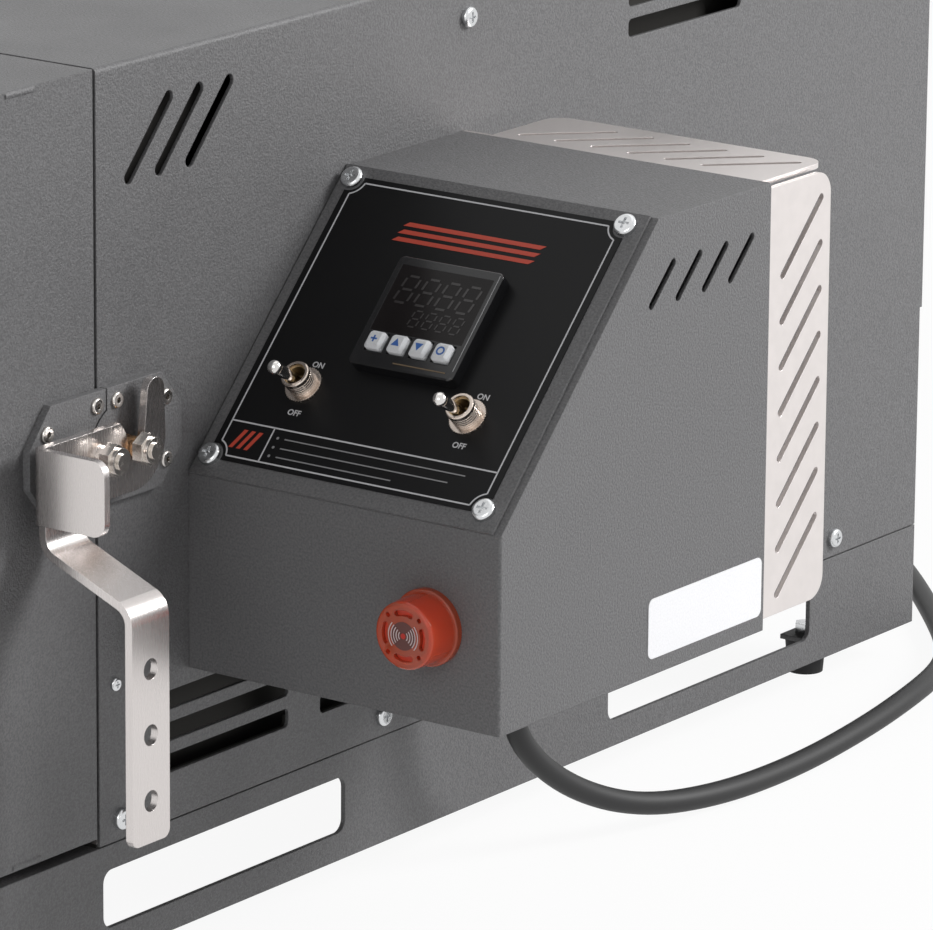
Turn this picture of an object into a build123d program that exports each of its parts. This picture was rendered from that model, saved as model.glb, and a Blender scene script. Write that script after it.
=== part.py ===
"""Bench heat treat oven: a brick lined cabinet on a low stand, a side hinged door with a hook latch,
and a control box on the right side. Millimetres, +Z up, +Y to the rear, +X to the control box side.

Everything is laid out from one working corner: X = 0 is the outer face of the cabinet's right side,
Y = 0 is the front of the control box and Z = 0 is the floor. The last step moves every piece so that the
origin is the bottom centre of the whole oven, cord apart."""
from build123d import *
import math
import os

# Sheets and cabinet
sheet = 1.5                     # painted steel sheet
bend_radius = 2.0               # outside radius of the folded edges
cab_width = 385.0
cab_height = 296.4
cab_length = 560.5
cab_front_y = -53.5
rear_step = 1.6                 # the lower rear edge of the wrapper stands back by this much
rear_step_height = 97.4         # above the cabinet's underside
lower_gap = 0.8                 # thin gap between the wrapper and the stand

# Stand and feet
stand_height = 43.7
stand_inset = 0.6               # rail faces behind the cabinet's faces
stand_front_y = -130.0
stand_sheet = 2.0
stand_flange = 31.0
stand_lower_flange = 16.0       # between the feet, so that the windows stay clear
foot_tab_length = 21.0
window_length = 149.0
window_height = 22.8
window_z = 11.1                 # above the rail's lower edge
window_radius = 5.0
window_starts = (79.0, 406.0)   # along a side rail, from its front end
cross_window_length = 120.0
foot_diameter = 18.0
foot_height = 15.4
foot_inset_x = 25.4
foot_inset_y = 46.3
foot_screw_diameter = 5.0
foot_recess = 5.0
foot_nut = 4.0
rear_web_height = 14.0          # the rear cross rail is a shallow angle

# Brickwork
brick_thickness = 63.5
brick_side_gap = 14.7           # from the cabinet's outer face to the brickwork
brick_top_gap = 14.85
brick_rear_gap = 34.0           # the terminals and their wires are in it
chamber_width = cab_width - 2 * (brick_thickness + brick_side_gap)
chamber_height = cab_height - 2 * (brick_thickness + brick_top_gap)
chamber_length = cab_length - brick_thickness - brick_rear_gap
liner_sheet = 1.0
pan_flange = 22.0
rail_width = 40.0
rail_spacing = 220.0

# Heating elements, one serpentine in each side wall
element_diameter = 9.0
groove_size = 13.0
element_rows = 4
element_margin = 21.85          # from the chamber's floor to the lowest row, and from its roof
element_pitch = (chamber_height - 2 * element_margin) / (element_rows - 1)
element_front_gap = 30.0
element_rear_gap = 24.0
terminal_length = 16.0
terminal_diameter = 6.0
bushing_diameter = 14.0
bushing_length = 8.0
probe_diameter = 6.5
probe_reach = 42.0
probe_below_roof = 28.0
probe_block = 20.0

# Door
door_gap = 1.6
door_thickness = 74.9
door_lift = 4.4                 # door's lower edge above the cabinet's underside
door_brick_gap = 9.0
plug_depth = 11.0               # the brick's step into the chamber mouth
plug_clearance = 3.5
frame_sheet = 0.8
frame_edge = 7.0                # the frame stops this far inside the pan's walls
door_lip = 14.0
weld_radius = 1.6
weld_length = 16.0
weld_start = 33.0

# Hinges
hinge_barrel_diameter = 13.0
hinge_stand_off = 0.4
hinge_pin_diameter = 7.0
hinge_leaf = 3.0
hinge_leaf_width = 42.0
hinge_height = 64.0
hinge_knuckle_gap = 0.5
hinge_inset = 62.2              # from the cabinet's lower and upper edges to the hinges' centres
pin_clearance = 0.05
pin_head_diameter = 10.0
pin_head = 2.0
hinge_screw_head = 2.0

# Latch
latch_height = 155.4            # latch centre line above the cabinet's underside
latch_sheet = 3.2
plate_length = 88.0
plate_height = 44.0
plate_split_y = -52.1
plate_gap = 0.8
chamfer_y = 12.0
chamfer_z = 14.6
tab_radius = 14.7               # the strike plate's rounded tab, about the roller
roller_y = -45.8
pivot_to_roller = 19.3
roller_diameter = 8.2
roller_end_gap = 0.3
bolt_diameter = 6.3
nut_flats = 11.0
nut_height = 6.2
bolt_end = 1.0
bolt_head = 4.0
lever_offset = 5.5              # between the plates' faces and the lever
sleeve_length = 11.4
sleeve_diameter = 9.4
washer_diameter = 17.0
washer_gap = 0.2
running_clearance = 0.05
slot_clearance = 0.3
lever_front = 33.3              # the guard's front face is this far ahead of the pivot, less the bend
lever_top = 10.8
lever_bottom = 16.4
finger_width = 12.8
finger_tip = 4.7
finger_height = 24.0
finger_lean = 2.4
guard_width = 30.2
guard_bottom = 17.6
guard_radius = 5.5
guard_bend = 3.0
strap_width = 21.5
strap_front = 32.7
strap_bend_z = 28.0
strap_out = 39.6
strap_drop = 16.4
strap_end = 133.5
strap_bend = 8.0
grip_corner = 3.5
grip_hole_diameter = 8.0
grip_hole_pitch = 25.0
grip_hole_top = 67.5            # first hole below the pivot
rivet_head_diameter = 6.2
rivet_head = 1.3
rivet_diameter = 3.2
rivet_tail = 3.0
rivet_mandrel = 2.2
rivet_outer_y = 34.4
rivet_outer_z = 11.9
rivet_inner_y = 5.8
rivet_inner_z = 16.6

# Vents in the cabinet sides
slant_vent_width = 5.2
slant_vent_y = -34.6
slant_vent_z = cab_height - 43.7
slant_vent_run = 23.5
slant_vent_rise = 26.0
slant_vent_pitch = 17.9
vent_length = 80.0
vent_height = 7.5
vent_pitch = 12.4
vent_radius = 2.2
vent_rows = 3
low_vent_z = 19.4               # lowest slot's lower edge above the cabinet's underside
low_vent_starts = (-19.0, 81.0)
high_vent_start = 283.0
high_vent_z = cab_height - 44.2
rear_vent_rows = 5
rear_vent_length = 110.0

# Side screws
screw_head_diameter = 8.4
screw_head = 2.6
screw_diameter = 4.0
screw_length = 7.0
low_screw_z = 9.0
low_screw_ys = (-41.3, 121.0, 281.0, 441.0)
high_screw_y = 174.0
high_screw_z = cab_height - 17.8
small_screw_y = -44.4
small_screw_z = 62.1
small_screw_scale = 0.62
rear_screw_inset = 12.0

# Control box
box_lift = 57.9                 # above the cabinet's underside
box_width = 143.7
box_depth = 172.0
box_height = 175.8
box_front_height = 75.6
slope_run = 97.7
slope_side = math.hypot(slope_run, box_height - box_front_height)
lid_sheet = 1.2
lid_margin = 3.3                # from the box's right face to the lid
lid_clearance = 0.4
lid_flange = 12.0
box_vent_width = 3.2
box_vent_count = 4
box_vent_y = box_depth - 78.3
box_vent_z = box_height - 32.4
box_vent_run = 13.9
box_vent_pitch = 17.3
wire_hole_diameter = 24.0
wire_hole_y = 60.0
wire_hole_z = 100.0

# Things on the slope; x from the cabinet side, t up the slope
lid_screw_x = 69.5
lid_screw_t = slope_side / 2 + 1.2
lid_screw_dx = 126.3
lid_screw_dt = slope_side - 14.8
lid_screw_head_diameter = 9.2
overlay_sheet = 0.4
overlay_width = 128.4
overlay_length = slope_side - 12.5
controller_x = 73.0
controller_t = 78.3
controller_face = 48.0
controller_case = 44.6
controller_depth = 72.0
bezel_height = 6.0
bezel_radius = 2.5
display_width = 42.0
display_length = 29.0
display_up = 5.6
display_glass = 0.9
key_count = 4
key_pitch = 10.2
key_down = 13.7
key_size = 7.6
key_chamfer = 1.3
key_corner = 1.6
key_stand = 2.6
key_root = 3.0
key_clearance = 0.3
key_travel = 0.8
toggle_xs = (31.6, 107.4)
toggle_t = 44.0
toggle_nut_radius = 5.7
toggle_nut_top_radius = 5.3
toggle_groove = 0.18
toggle_nut_height = 7.4
toggle_bushing_radius = 4.4
toggle_bore_radius = 3.9
toggle_washer_radius = 7.5
toggle_washer = 1.2
toggle_teeth = 44
overlay_notch = 5.4
toggle_case_width = 13.0
toggle_case_length = 27.0
toggle_case_depth = 17.0
toggle_tilt = 15.0
toggle_pivot_h = 4.0
toggle_reach = 18.5
toggle_root_radius = 1.6
toggle_tip_radius = 2.8

# Sounder lamp on the front of the box
lamp_x = 112.0
lamp_z = 36.5
lamp_flange_diameter = 29.4
lamp_flange = 3.0
lamp_head_diameter = 27.2
lamp_front_diameter = 25.6
lamp_reach = 16.0
lamp_wall = 2.0
lamp_slot_radius = 8.7
lamp_slot_width = 2.2
lamp_slot_angle = 42.0
lamp_hole_diameter = 1.9
lamp_body_diameter = 21.5
lamp_body_length = 26.0
lamp_nut_diameter = 28.0
lamp_nut = 5.0

# Rear sheet and label
shield_sheet = 2.0
shield_lift = 4.5
shield_side_depth = 41.0
shield_top_depth = 44.6
shield_top_start = 12.5
shield_top_end = box_width - 4.2
shield_notch = 9.0
shield_corner = 9.0
shield_slot_width = 3.2
shield_slot_run = 25.5
shield_slot_pitch = 18.0
shield_slot_margin = 9.0
shield_side_slots = 8
shield_top_slots = 6
shield_top_margin = 7.0         # from the last slot to the top flange's right end
label_length = 75.5
label_height = 23.5
label_sheet = 0.3
label_y = box_depth - 77.5
label_z = 6.5
label_radius = 3.0

# Inside the box
relay_size = (45.0, 23.0, 58.0)
relay_x = 46.0
relay_top_gap = 12.8            # from the relay to the box's top
terminal_size = (50.0, 15.0, 20.0)
terminal_z = 62.0
terminal_hole_radius = 2.6
tab_sheet = 1.0                 # solder tabs of the switches and the sounder
tab_length = 8.0
lamp_tab_width = 5.0

# Cord and gland
cord_diameter = 9.5
gland_x = 33.0
gland_y = box_depth - 12.0
gland_flats = 21.0
gland_height = 5.0
gland_thread_diameter = 15.8
gland_nut = 4.0
relief_length = 20.0
relief_top_diameter = 15.0
relief_end_diameter = 11.4
cord_level = cord_diameter / 2 + 0.2
cord_fall = (                   # from the strain relief's end downwards: x and y from the gland
    (0, 0, 0), (0, 0, -23), (1, 9, -44.5), (5, 37, -66.5))
cord_run = (                    # on to the coil: x and y from the gland, z from the floor, chosen by hand
    (13, 72, 11), (21, 116, 6), (23, 170, cord_level), (22, 224, 8), (17, 270, 11), (4, 311, 9),
    (-19, 353, cord_level), (-57, 398, cord_level), (-97, 441, cord_level), (-145, 486, cord_level),
    (-189, 486, cord_level))
coil_radius = 62.0
coil_quarters = 12              # quarter turns, in on the floor and out again on top
coil_pitch = cord_diameter + 0.8
coil_tail = 48.0
plug_relief = 18.0
plug_length = 34.0
plug_width = 34.0
plug_pin = 17.0
plug_blade_width = 6.4
plug_blade_sheet = 1.6
plug_blade_spacing = 12.8
plug_earth_radius = 2.4

# Working levels
stand_z = foot_height
cab_z = stand_z + stand_height
cab_top = cab_z + cab_height
cab_rear_y = cab_front_y + cab_length
cab_left_x = -cab_width
cab_mid_x = cab_left_x / 2
cab_mid_z = cab_z + cab_height / 2
box_z = cab_z + box_lift
latch_z = cab_z + latch_height
pivot_y = roller_y - pivot_to_roller
plate_face = latch_sheet
lever_back = plate_face + lever_offset
lever_face = lever_back + latch_sheet
nut_back = plate_face + sleeve_length
hinge_x = cab_left_x - hinge_barrel_diameter / 2 - hinge_stand_off
hinge_y = cab_front_y - door_gap / 2
door_rear_y = cab_front_y - door_gap
door_front_y = door_rear_y - door_thickness
door_z = cab_z + door_lift
through = 5.0                   # how far cutters run past a face


def block(x0, x1, y0, y1, z0, z1):
    """A box between two corners."""
    centre = Pos((x0 + x1) / 2, (y0 + y1) / 2, (z0 + z1) / 2)
    return centre * Box(x1 - x0, y1 - y0, z1 - z0)


def rod_x(radius, x0, x1, y, z):
    return Pos((x0 + x1) / 2, y, z) * Rot(0, 90, 0) * Cylinder(radius, x1 - x0)


def rod_y(radius, x, y0, y1, z):
    return Pos(x, (y0 + y1) / 2, z) * Rot(90, 0, 0) * Cylinder(radius, y1 - y0)


def rod_z(radius, x, y, z0, z1):
    return Pos(x, y, (z0 + z1) / 2) * Cylinder(radius, z1 - z0)


def side_plate(face, x0, x1):
    """A face drawn in Y and Z, made solid between two X values."""
    return extrude(Plane.YZ.offset(x0) * face, amount=x1 - x0)


def side_slot(y0, z0, y1, z1, width, x0, x1):
    """A round ended slot through a side, between two points."""
    run = math.hypot(y1 - y0, z1 - z0)
    angle = math.degrees(math.atan2(z1 - z0, y1 - y0))
    face = Pos((y0 + y1) / 2, (z0 + z1) / 2) * Rot(0, 0, angle) * SlotCenterToCenter(run, width)
    return side_plate(face, x0, x1)


def group(pieces):
    """Separate solids in one node."""
    return Compound([solid for piece in pieces for solid in piece.solids()])


def cut_all(shape, cutters):
    for cutter in cutters:
        shape -= cutter
    return shape


def cross_screw(head_diameter, head, shank_diameter, shank_length):
    """A pan head screw along +Z with its head's seat at Z = 0."""
    body = Cylinder(head_diameter / 2, head, align=(Align.CENTER, Align.CENTER, Align.MIN))
    body = fillet(body.edges().group_by(Axis.Z)[-1], head * 0.55)
    for turn in (0, 90):
        arm = Box(head_diameter * 0.5, head_diameter * 0.11, head * 0.8)
        body -= Pos(0, 0, head) * Rot(0, 0, turn) * arm
    shank = Cylinder(shank_diameter / 2, shank_length, align=(Align.CENTER, Align.CENTER, Align.MAX))
    return body + shank


def blind_rivet():
    """A blind rivet along +Z with its head's seat at Z = 0."""
    head = Cylinder(rivet_head_diameter / 2, rivet_head, align=(Align.CENTER, Align.CENTER, Align.MIN))
    head = fillet(head.edges().group_by(Axis.Z)[-1], rivet_head * 0.6)
    tail = latch_sheet + sheet + rivet_tail
    shank = Cylinder(rivet_diameter / 2, tail, align=(Align.CENTER, Align.CENTER, Align.MAX))
    return head + shank - Cylinder(rivet_mandrel / 2, rivet_head * 4)


def lock_nut(outer_x, y, z):
    """A lock nut along X whose outer face is at outer_x: hexagon with a round collar."""
    hexagon = RegularPolygon(nut_flats / 2, 6, major_radius=False, rotation=30)
    back = outer_x - nut_height
    body = side_plate(Pos(y, z) * hexagon, back, outer_x - nut_height * 0.3)
    collar = rod_x(nut_flats * 0.46, back, outer_x, y, z)
    return body + collar - rod_x(bolt_diameter / 2, back, outer_x + through, y, z)


# Cabinet sheets

def side_screw_points(on_left):
    """Screws in a cabinet side: y, z and scale. The small one is on the right only."""
    points = [(y, cab_z + low_screw_z, 1.0) for y in low_screw_ys]
    points.append((high_screw_y, cab_z + high_screw_z, 1.0))
    if not on_left:
        points.append((small_screw_y, cab_z + small_screw_z, small_screw_scale))
    return points


def rivet_points():
    """Rivets of the latch plates: y, z and whether on the door."""
    points = []
    for up in (-1, 1):
        points.append((plate_split_y - rivet_outer_y, latch_z + up * rivet_outer_z, True))
        points.append((plate_split_y - rivet_inner_y, latch_z + up * rivet_inner_z, True))
        points.append((plate_split_y + rivet_outer_y, latch_z + up * rivet_outer_z, False))
        points.append((plate_split_y + rivet_inner_y, latch_z + up * rivet_inner_z, False))
    return points


def side_vents(x0, x1):
    """All the vent cutters of one cabinet side."""
    cutters = []
    for i in range(vent_rows):
        y = slant_vent_y + i * slant_vent_pitch
        z = cab_z + slant_vent_z
        cutters.append(side_slot(y, z, y + slant_vent_run, z + slant_vent_rise, slant_vent_width, x0, x1))
    face = RectangleRounded(vent_length, vent_height, vent_radius)
    for start in low_vent_starts:
        for i in range(vent_rows):
            z = cab_z + low_vent_z + vent_height / 2 + i * vent_pitch
            cutters.append(side_plate(Pos(start + vent_length / 2, z) * face, x0, x1))
    for i in range(vent_rows):
        z = cab_z + high_vent_z + vent_height / 2 + i * vent_pitch
        cutters.append(side_plate(Pos(high_vent_start + vent_length / 2, z) * face, x0, x1))
    return cutters


def make_wrapper():
    """Top and both sides in one folded sheet."""
    outer = block(cab_left_x, 0, cab_front_y, cab_rear_y, cab_z, cab_top)
    top_edges = outer.edges().filter_by(Axis.Y).group_by(Axis.Z)[-1]
    outer = fillet(top_edges, bend_radius)
    inner = block(cab_left_x + sheet, -sheet, cab_front_y - through, cab_rear_y + through,
                  cab_z - through, cab_top - sheet)
    shape = outer - inner
    step_y = cab_rear_y - rear_step
    step_z = cab_z + rear_step_height
    shape -= block(cab_left_x - through, through, step_y, cab_rear_y + through, cab_z - through, step_z)
    shape -= block(cab_left_x - through, through, cab_front_y - through, cab_rear_y + through,
                   cab_z - through, cab_z + lower_gap)
    for x0, x1 in ((-sheet - through, through), (cab_left_x - through, cab_left_x + sheet + through)):
        shape = cut_all(shape, side_vents(x0, x1))
        for y, z, scale in side_screw_points(x0 < cab_mid_x):
            shape -= rod_x(screw_diameter * scale / 2, x0, x1, y, z)
    for y, z in hinge_screw_points(False):
        shape -= rod_x(screw_diameter / 2, cab_left_x - through, cab_left_x + sheet + through, y, z)
    for y, z, on_door in rivet_points():
        if not on_door:
            shape -= rod_x(rivet_diameter / 2, -sheet - through, through, y, z)
    shape -= rod_x(bolt_diameter / 2, -sheet - through, through, roller_y, latch_z)
    wire_z = box_z + wire_hole_z
    shape -= rod_x(wire_hole_diameter / 2, -sheet - through, through, wire_hole_y, wire_z)
    return shape


def make_base_pan():
    """Floor sheet with an upturned flange along each side."""
    x0, x1 = cab_left_x + sheet, -sheet
    y1 = cab_rear_y - rear_step
    shape = block(x0, x1, cab_front_y, y1, cab_z, cab_z + sheet)
    flange_top = cab_z + sheet + pan_flange
    for a, b in ((x0, x0 + sheet), (x1 - sheet, x1)):
        shape += block(a, b, cab_front_y + sheet, y1 - sheet, cab_z, flange_top)
    for x, inward in ((x0, 1), (x1, -1)):
        for y, z, scale in side_screw_points(inward > 0):
            if z < flange_top:
                ends = sorted((x - inward * through, x + inward * through))
                shape -= rod_x(screw_diameter * scale / 2, ends[0], ends[1], y, z)
        face = RectangleRounded(vent_length, vent_height, vent_radius)
        for start in low_vent_starts:
            z = cab_z + low_vent_z + vent_height / 2
            ends = sorted((x - inward * through, x + inward * through))
            shape -= side_plate(Pos(start + vent_length / 2, z) * face, ends[0], ends[1])
    return shape


def make_rear_panel():
    """Rear sheet with a field of vents."""
    y0, y1 = cab_rear_y - rear_step - sheet, cab_rear_y - rear_step
    shape = block(cab_left_x + sheet, -sheet, y0, y1, cab_z + sheet, cab_top - sheet)
    for side in (-1, 1):
        for i in range(rear_vent_rows):
            x = cab_mid_x + side * rear_vent_length * 0.7
            z = cab_top - vent_pitch * (i + 2)
            face = RectangleRounded(rear_vent_length, vent_height, vent_radius)
            shape -= extrude(Plane.XZ.offset(-y1 - through) * Pos(x, z) * face, amount=sheet + 2 * through)
    for x, z in rear_screw_points():
        shape -= rod_y(screw_diameter / 2, x, y0 - through, y1 + through, z)
    return shape


def rear_screw_points():
    points = []
    for x in (cab_left_x + sheet + rear_screw_inset, -sheet - rear_screw_inset):
        for z in (cab_z + sheet + rear_screw_inset, cab_top - sheet - rear_screw_inset):
            points.append((x, z))
    return points


def make_fascia():
    """Front sheet of the cabinet, around the chamber mouth."""
    y0, y1 = cab_front_y, cab_front_y + sheet
    shape = block(cab_left_x + sheet, -sheet, y0, y1, cab_z + sheet, cab_top - sheet)
    return shape - chamber_space(y0 - through, y1 + through)


def chamber_space(y0, y1):
    half_w, half_h = chamber_width / 2, chamber_height / 2
    return block(cab_mid_x - half_w, cab_mid_x + half_w, y0, y1, cab_mid_z - half_h, cab_mid_z + half_h)


def brick_space(grow):
    """The outside of the brickwork, grown on all closed sides."""
    half_w = chamber_width / 2 + brick_thickness + grow
    half_h = chamber_height / 2 + brick_thickness + grow
    y0 = cab_front_y + sheet
    y1 = y0 + chamber_length + brick_thickness + grow
    return block(cab_mid_x - half_w, cab_mid_x + half_w, y0, y1, cab_mid_z - half_h, cab_mid_z + half_h)


# Elements: each end leaves through the rear wall

def element_levels():
    first = cab_mid_z - element_pitch * (element_rows - 1) / 2
    return [first + i * element_pitch for i in range(element_rows)]


def element_x(side):
    return cab_mid_x + side * (chamber_width / 2 + groove_size / 2)


def element_front_y():
    return cab_front_y + sheet + element_front_gap


def chamber_rear_y():
    return cab_front_y + sheet + chamber_length


def element_end_y():
    return chamber_rear_y() + brick_thickness + liner_sheet


def make_element(side):
    """One rod bent up and down the wall, both ends out through the rear."""
    x = element_x(side)
    front = element_front_y() + groove_size / 2
    rear = chamber_rear_y() - element_rear_gap - groove_size / 2
    levels = element_levels()
    points = [(x, element_end_y(), levels[0]), (x, front, levels[0])]
    for i in range(1, element_rows):
        turn = front if i % 2 else rear
        points[-1] = (x, turn, levels[i - 1])
        points.append((x, turn, levels[i]))
        points.append((x, rear if i % 2 else front, levels[i]))
    points[-1] = (x, element_end_y(), levels[-1])
    path = FilletPolyline(*points, radius=element_diameter * 0.9)
    section = Plane(origin=points[0], z_dir=(0, -1, 0)) * Circle(element_diameter / 2)
    return sweep(section, path=path)


def element_holes(side, y0, y1):
    """Holes for a wall's two element ends."""
    levels = element_levels()
    return [rod_y(element_diameter / 2, element_x(side), y0, y1, z) for z in (levels[0], levels[-1])]


def make_side_brick(side):
    """Side wall with the element's grooves in its inner face."""
    inner = cab_mid_x + side * chamber_width / 2
    outer = inner + side * brick_thickness
    half_h = chamber_height / 2
    y0, y1 = cab_front_y + sheet, chamber_rear_y() + brick_thickness
    x0, x1 = sorted((inner, outer))
    shape = block(x0, x1, y0, y1, cab_mid_z - half_h, cab_mid_z + half_h)
    g0, g1 = sorted((inner - side * through, inner + side * groove_size))
    half = groove_size / 2
    front, rear = element_front_y(), chamber_rear_y() - element_rear_gap
    levels = element_levels()
    for i, z in enumerate(levels):
        end = chamber_rear_y() if i in (0, element_rows - 1) else rear
        shape -= block(g0, g1, front, end, z - half, z + half)
    for i in range(element_rows - 1):
        turn = front if i % 2 == 0 else rear - groove_size
        shape -= block(g0, g1, turn, turn + groove_size, levels[i] - half, levels[i + 1] + half)
    return cut_all(shape, element_holes(side, chamber_rear_y() - through, y1 + through))


def make_slab(up):
    """Floor or roof of the brickwork."""
    half_w = chamber_width / 2 + brick_thickness
    z0 = cab_mid_z + up * chamber_height / 2
    z_ends = sorted((z0, z0 + up * brick_thickness))
    y0 = cab_front_y + sheet
    y1 = chamber_rear_y() + brick_thickness
    return block(cab_mid_x - half_w, cab_mid_x + half_w, y0, y1, z_ends[0], z_ends[1])


def probe_z():
    return cab_mid_z + chamber_height / 2 - probe_below_roof


def make_rear_brick():
    shape = chamber_space(chamber_rear_y(), chamber_rear_y() + brick_thickness)
    y0, y1 = chamber_rear_y() - through, chamber_rear_y() + brick_thickness + through
    return shape - rod_y(probe_diameter / 2, cab_mid_x, y0, y1, probe_z())


def make_liner():
    """Sheet box around the brickwork, open at the front."""
    shape = brick_space(liner_sheet) - brick_space(0)
    y0, y1 = element_end_y() - liner_sheet - through, element_end_y() + through
    for side in (-1, 1):
        shape = cut_all(shape, element_holes(side, y0, y1))
    return shape - rod_y(probe_diameter / 2, cab_mid_x, y0, y1, probe_z())


def make_liner_rails():
    """Two channels that carry the liner on the base pan."""
    bottom = cab_z + sheet
    top = cab_mid_z - chamber_height / 2 - brick_thickness - liner_sheet
    y0, y1 = cab_front_y + sheet, element_end_y()
    rails = []
    for side in (-1, 1):
        x = cab_mid_x + side * rail_spacing / 2
        rail = block(x - rail_width / 2, x + rail_width / 2, y0, y1, bottom, top)
        inner = rail_width / 2 - sheet
        rail -= block(x - inner, x + inner, y0 - through, y1 + through, bottom - through, top - sheet)
        rails.append(rail)
    return group(rails)


def make_terminals():
    """Ceramic bushing and threaded post on each element end."""
    pieces = []
    for side in (-1, 1):
        for z in (element_levels()[0], element_levels()[-1]):
            x, y = element_x(side), element_end_y()
            piece = rod_y(bushing_diameter / 2, x, y, y + bushing_length, z)
            pieces.append(piece + rod_y(terminal_diameter / 2, x, y, y + terminal_length, z))
    return group(pieces)


def make_probe():
    """Thermocouple through the rear wall with its head behind the liner."""
    y0, y1 = chamber_rear_y() - probe_reach, element_end_y()
    shape = rod_y(probe_diameter / 2, cab_mid_x, y0, y1, probe_z())
    half = probe_block / 2
    return shape + block(cab_mid_x - half, cab_mid_x + half, y1, y1 + half,
                         probe_z() - half, probe_z() + half)


# Screws

def make_side_screws():
    pieces = []
    for x, turn in ((0, 90), (cab_left_x, -90)):
        for y, z, scale in side_screw_points(turn < 0):
            screw = cross_screw(screw_head_diameter * scale, screw_head * scale,
                                screw_diameter * scale, screw_length)
            pieces.append(Pos(x, y, z) * Rot(0, turn, 0) * screw)
    return pieces


def make_rear_screws():
    pieces = []
    for x, z in rear_screw_points():
        screw = cross_screw(screw_head_diameter, screw_head, screw_diameter, screw_length)
        pieces.append(Pos(x, cab_rear_y - rear_step, z) * Rot(-90, 0, 0) * screw)
    return pieces


# Stand

def channel_z():
    return stand_z, cab_z


def make_side_rail(side):
    """C channel along one side, with two windows in its web."""
    z0, z1 = channel_z()
    outer = -stand_inset if side > 0 else cab_left_x + stand_inset
    inner = outer - side * stand_flange
    x0, x1 = sorted((outer, inner))
    y0, y1 = stand_front_y, cab_rear_y - stand_inset
    shape = block(x0, x1, y0, y1, z0, z1)
    h0, h1 = sorted((outer - side * stand_sheet, inner - side * through))
    shape -= block(h0, h1, y0 - through, y1 + through, z0 + stand_sheet, z1 - stand_sheet)
    h0, h1 = sorted((outer - side * stand_lower_flange, inner - side * through))
    feet_ys = sorted(set(y for x, y in foot_points()))
    shape -= block(h0, h1, feet_ys[0] + foot_tab_length / 2, feet_ys[-1] - foot_tab_length / 2,
                   z0 - through, z0 + stand_sheet + through)
    face = RectangleRounded(window_length, window_height, window_radius)
    w0, w1 = sorted((outer + side * through, outer - side * (stand_sheet + through)))
    for start in window_starts:
        centre = Pos(y0 + start + window_length / 2, z0 + window_z + window_height / 2)
        shape -= side_plate(centre * face, w0, w1)
    for x, y in foot_points():
        if (x > cab_mid_x) == (side > 0):
            shape -= rod_z(foot_screw_diameter / 2, x, y, z0 - through, z0 + stand_sheet + through)
    return shape


def make_front_rail():
    """C channel between the side rails, with two windows."""
    z0, z1 = channel_z()
    x0 = cab_left_x + stand_inset + stand_flange
    x1 = -stand_inset - stand_flange
    y0, y1 = stand_front_y, stand_front_y + stand_flange
    shape = block(x0, x1, y0, y1, z0, z1)
    shape -= block(x0 - through, x1 + through, y0 + stand_sheet, y1 + through,
                   z0 + stand_sheet, z1 - stand_sheet)
    face = RectangleRounded(cross_window_length, window_height, window_radius)
    for side in (-1, 1):
        x = cab_mid_x + side * cross_window_length * 0.6
        centre = Pos(x, z0 + window_z + window_height / 2)
        cutter = extrude(Plane.XZ.offset(-y0 - stand_sheet - through) * centre * face,
                         amount=stand_sheet + 2 * through)
        shape -= cutter
    return shape


def make_rear_rail():
    """Shallow angle between the side rails at the rear."""
    x0 = cab_left_x + stand_inset + stand_flange
    x1 = -stand_inset - stand_flange
    y1 = cab_rear_y - stand_inset
    top = block(x0, x1, y1 - stand_flange, y1, cab_z - stand_sheet, cab_z)
    return top + block(x0, x1, y1 - stand_sheet, y1, cab_z - rear_web_height, cab_z)


def foot_points():
    xs = (cab_left_x + foot_inset_x, -foot_inset_x)
    ys = (stand_front_y + foot_inset_y, cab_rear_y - stand_inset - foot_inset_y)
    return [(x, y) for x in xs for y in ys]


def make_feet():
    """Tapered rubber feet, each with its screw."""
    feet = []
    for x, y in foot_points():
        foot = Cone(foot_diameter * 0.43, foot_diameter / 2, foot_height)
        foot = Pos(x, y, foot_height / 2) * foot
        foot -= rod_z(foot_screw_diameter, x, y, -through, foot_recess)
        feet.append(foot - rod_z(foot_screw_diameter / 2, x, y, -through, foot_height + through))
    return group(feet)


def make_foot_screws():
    pieces = []
    for x, y in foot_points():
        top = stand_z + stand_sheet + foot_nut
        screw = rod_z(foot_screw_diameter * 0.9, x, y, foot_recess - foot_nut / 2, foot_recess)
        screw += rod_z(foot_screw_diameter / 2, x, y, foot_recess, top)
        nut = extrude(RegularPolygon(foot_screw_diameter, 6), foot_nut)
        pieces.append(screw + Pos(x, y, stand_z + stand_sheet) * nut)
    return group(pieces)


# Door

def door_space(inset):
    x0, x1 = cab_left_x + inset, -inset
    return block(x0, x1, door_front_y + inset, door_rear_y - inset, door_z + inset, cab_top - inset)


def plug_space(y0, y1, grow):
    """The brick's step into the chamber mouth, grown all round."""
    half_w = chamber_width / 2 - plug_clearance + grow
    half_h = chamber_height / 2 - plug_clearance + grow
    return block(cab_mid_x - half_w, cab_mid_x + half_w, y0, y1, cab_mid_z - half_h, cab_mid_z + half_h)


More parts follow.
